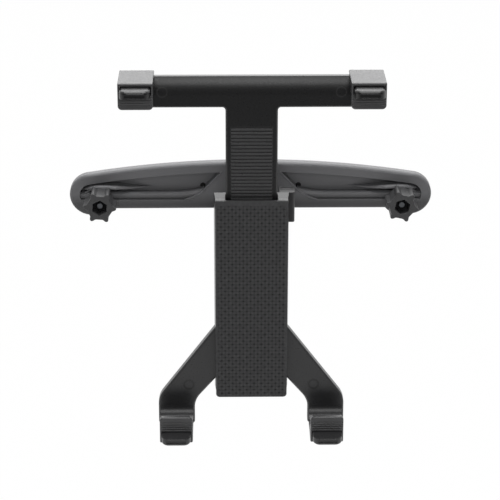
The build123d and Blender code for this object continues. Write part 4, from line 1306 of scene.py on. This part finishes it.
@dataclass
class Studio:
    """White studio: floor, surround, lamps and the photograph's camera."""

    target: tuple[float, float, float] = (-0.9 * MM, -52.0 * MM, -17.2 * MM)
    distance: float = 1.0455
    azimuth: float = math.radians(-0.85)
    elevation: float = math.radians(22.4)
    roll: float = math.radians(0.08)
    lens: float = 136.8
    sensor: float = 36.0
    floor_drop: float = 0.25
    floor_half: float = 9.0
    floor_glow: float = 0.98
    floor_colour: str = "#f4f4f4"
    white: str = "#ffffff"
    near_edge: float = -0.8
    far_edge: float = -1.05
    room_fade: tuple[float, float] = (-0.6, 0.3)
    dark_side: float = 0.15
    ambient: float = 0.22
    lamps: tuple[SoftBox, ...] = (SoftBox("back_box", (0.0, 1.7, 0.75), 1.6, 13.0),
                                  SoftBox("overhead_box", (0.0, -0.1, 1.4), 1.2, 22.0),
                                  SoftBox("front_box", (0.0, -1.5, 0.65), 0.6, 4.2))

    def camera(self) -> None:
        """Place the camera at the photograph's viewing angle."""
        data = bpy.data.cameras.new("photo_view")
        data.lens, data.sensor_width = self.lens, self.sensor
        data.clip_end = 4 * self.floor_half
        away = Vector((math.sin(self.azimuth) * math.cos(self.elevation),
                       -math.cos(self.azimuth) * math.cos(self.elevation), math.sin(self.elevation)))
        turn = (-away).to_track_quat("-Z", "Y").to_matrix().to_4x4()
        camera = bpy.data.objects.new("photo_view", data)
        camera.matrix_world = (Matrix.Translation(Vector(self.target) + self.distance * away) @ turn
                               @ Matrix.Rotation(self.roll, 4, "Z"))
        bpy.context.scene.collection.objects.link(camera)
        bpy.context.scene.camera = camera

    def floor(self) -> None:
        """Lay a pale floor below the mount, which shows white and keeps the shadow.

        In reflections it is white up to the near edge of the sweep and dim beyond the far edge, where
        the room in front of the sweep begins.
        """
        height = cad_box[0].z - self.floor_drop
        side = np.array([-1.0, 1.0]) * self.floor_half
        grid = np.stack(np.broadcast_arrays(side[None, :], side[:, None], height), axis=-1)
        plane = surface("floor", grid, closed=False)
        material, tree = new_tree("pale_floor")
        path = add_node(tree, "ShaderNodeLightPath")
        place = add_node(tree, "ShaderNodeTexCoord")
        depth = add_node(tree, "ShaderNodeSeparateXYZ", inputs={0: place.outputs["Object"]})
        sweep = add_node(tree, "ShaderNodeMapRange", inputs={
            "Value": depth.outputs["Y"], "From Min": self.far_edge, "From Max": self.near_edge,
            "To Min": self.dark_side, "To Max": 1.0})
        shown = add_node(tree, "ShaderNodeMath", {"operation": "MAXIMUM"}, {
            0: path.outputs["Is Camera Ray"], 1: path.outputs["Is Transmission Ray"]})
        mirrored = add_node(tree, "ShaderNodeMath", {"operation": "MULTIPLY"}, {
            0: path.outputs["Is Glossy Ray"], 1: sweep.outputs["Result"]})
        strength = add_node(tree, "ShaderNodeMath", {"operation": "MAXIMUM"}, {
            0: shown.outputs[0], 1: mirrored.outputs[0]})
        seen = add_node(tree, "ShaderNodeMath", {"operation": "MAXIMUM"}, {
            0: shown.outputs[0], 1: path.outputs["Is Glossy Ray"]})
        matt = add_node(tree, "ShaderNodeBsdfDiffuse", inputs={"Color": linear(self.floor_colour)})
        glow = add_node(tree, "ShaderNodeEmission", inputs={
            "Color": linear(self.white), "Strength": strength.outputs[0]})
        share = add_node(tree, "ShaderNodeMath", {"operation": "MULTIPLY"}, {
            0: seen.outputs[0], 1: self.floor_glow})
        mix = add_node(tree, "ShaderNodeMixShader", inputs={
            0: share.outputs[0], 1: matt.outputs["BSDF"], 2: glow.outputs["Emission"]})
        add_node(tree, "ShaderNodeOutputMaterial", inputs={"Surface": mix.outputs["Shader"]})
        plane.data.materials.append(material)

    def surround(self) -> None:
        """Make the world white to the eye, dimmer as a light, and dark in front in reflections."""
        world = bpy.data.worlds.new("white_surround")
        world.use_nodes = True
        tree = world.node_tree
        tree.nodes.clear()
        path = add_node(tree, "ShaderNodeLightPath")
        toward = add_node(tree, "ShaderNodeSeparateXYZ", inputs={
            0: add_node(tree, "ShaderNodeTexCoord").outputs["Generated"]})
        mirrored = add_node(tree, "ShaderNodeMapRange", inputs={
            "Value": toward.outputs["Y"], "From Min": self.room_fade[0], "From Max": self.room_fade[1],
            "To Min": self.dark_side, "To Max": 1.0})
        glossy = add_node(tree, "ShaderNodeMix", {"data_type": "FLOAT"}, {
            0: path.outputs["Is Glossy Ray"], 2: self.ambient, 3: mirrored.outputs["Result"]})
        shown = add_node(tree, "ShaderNodeMath", {"operation": "MAXIMUM"}, {
            0: path.outputs["Is Camera Ray"], 1: path.outputs["Is Transmission Ray"]})
        strength = add_node(tree, "ShaderNodeMix", {"data_type": "FLOAT"}, {
            0: shown.outputs[0], 2: glossy.outputs[0], 3: 1.0})
        background = add_node(tree, "ShaderNodeBackground", inputs={
            "Color": linear(self.white), "Strength": strength.outputs[0]})
        add_node(tree, "ShaderNodeOutputWorld", inputs={"Surface": background.outputs["Background"]})
        bpy.context.scene.world = world

    def hang(self, lamp: SoftBox) -> None:
        """Hang one soft box so that it faces the mount.

        Args:
            lamp: The soft box.
        """
        data = bpy.data.lights.new(lamp.name, "AREA")
        data.size, data.energy = lamp.width, lamp.power
        place = Vector(lamp.place)
        aim = (Vector(self.target) - place).to_track_quat("-Z", "Y").to_matrix().to_4x4()
        box = bpy.data.objects.new(lamp.name, data)
        box.matrix_world = Matrix.Translation(place) @ aim
        box.visible_camera = False
        bpy.context.scene.collection.objects.link(box)

    def build(self) -> None:
        """Set up the whole studio."""
        self.camera()
        self.floor()
        self.surround()
        for lamp in self.lamps:
            self.hang(lamp)
        bpy.context.scene.view_settings.view_transform = "Standard"


@dataclass
class Mount:
    """The whole mount: which finish each piece of the frame gets."""

    def dress_frame(self) -> None:
        """Give every piece that keeps its own shape its finish."""
        column, bracket, claw = COLUMN_PLASTIC.build(), BRACKET_PLASTIC.build(), CLAW_PLASTIC.build()
        knob, steel, dark = KNOB_PLASTIC.build(), BRIGHT_STEEL.build(), DARK_STEEL.build()
        dress(column, "cradle_front", "cradle_back", "release_lever", "tilt_knuckle", "swivel_retainer")
        dress(SLIDE_PLASTIC.build(), "slide_bar")
        dress(bracket, "bracket_shell", "clamp_bar")
        dress(steel, "tilt_nut", "swivel_screw", "lever_pin")
        for side in Side:
            dress(knob, f"spacer_{side.value}")
            dress(dark, f"knob_nut_{side.value}")
            for row in Row:
                dress(claw, f"claw_{row.value}_{side.value}")


def main() -> None:
    """Build the looks piece by piece, then the studio."""
    logging.basicConfig(level=logging.INFO, format="%(name)s: %(message)s")
    Mount().dress_frame()
    GripPanel().build()
    RubberFacings().build()
    Fasteners().build()
    LobedKnobs().build()
    HolePlugs().build()
    BracketTrim().build()
    PaddleCap().build()
    TorsionSpring().build()
    Studio().build()


if __name__ == "__main__":
    main()
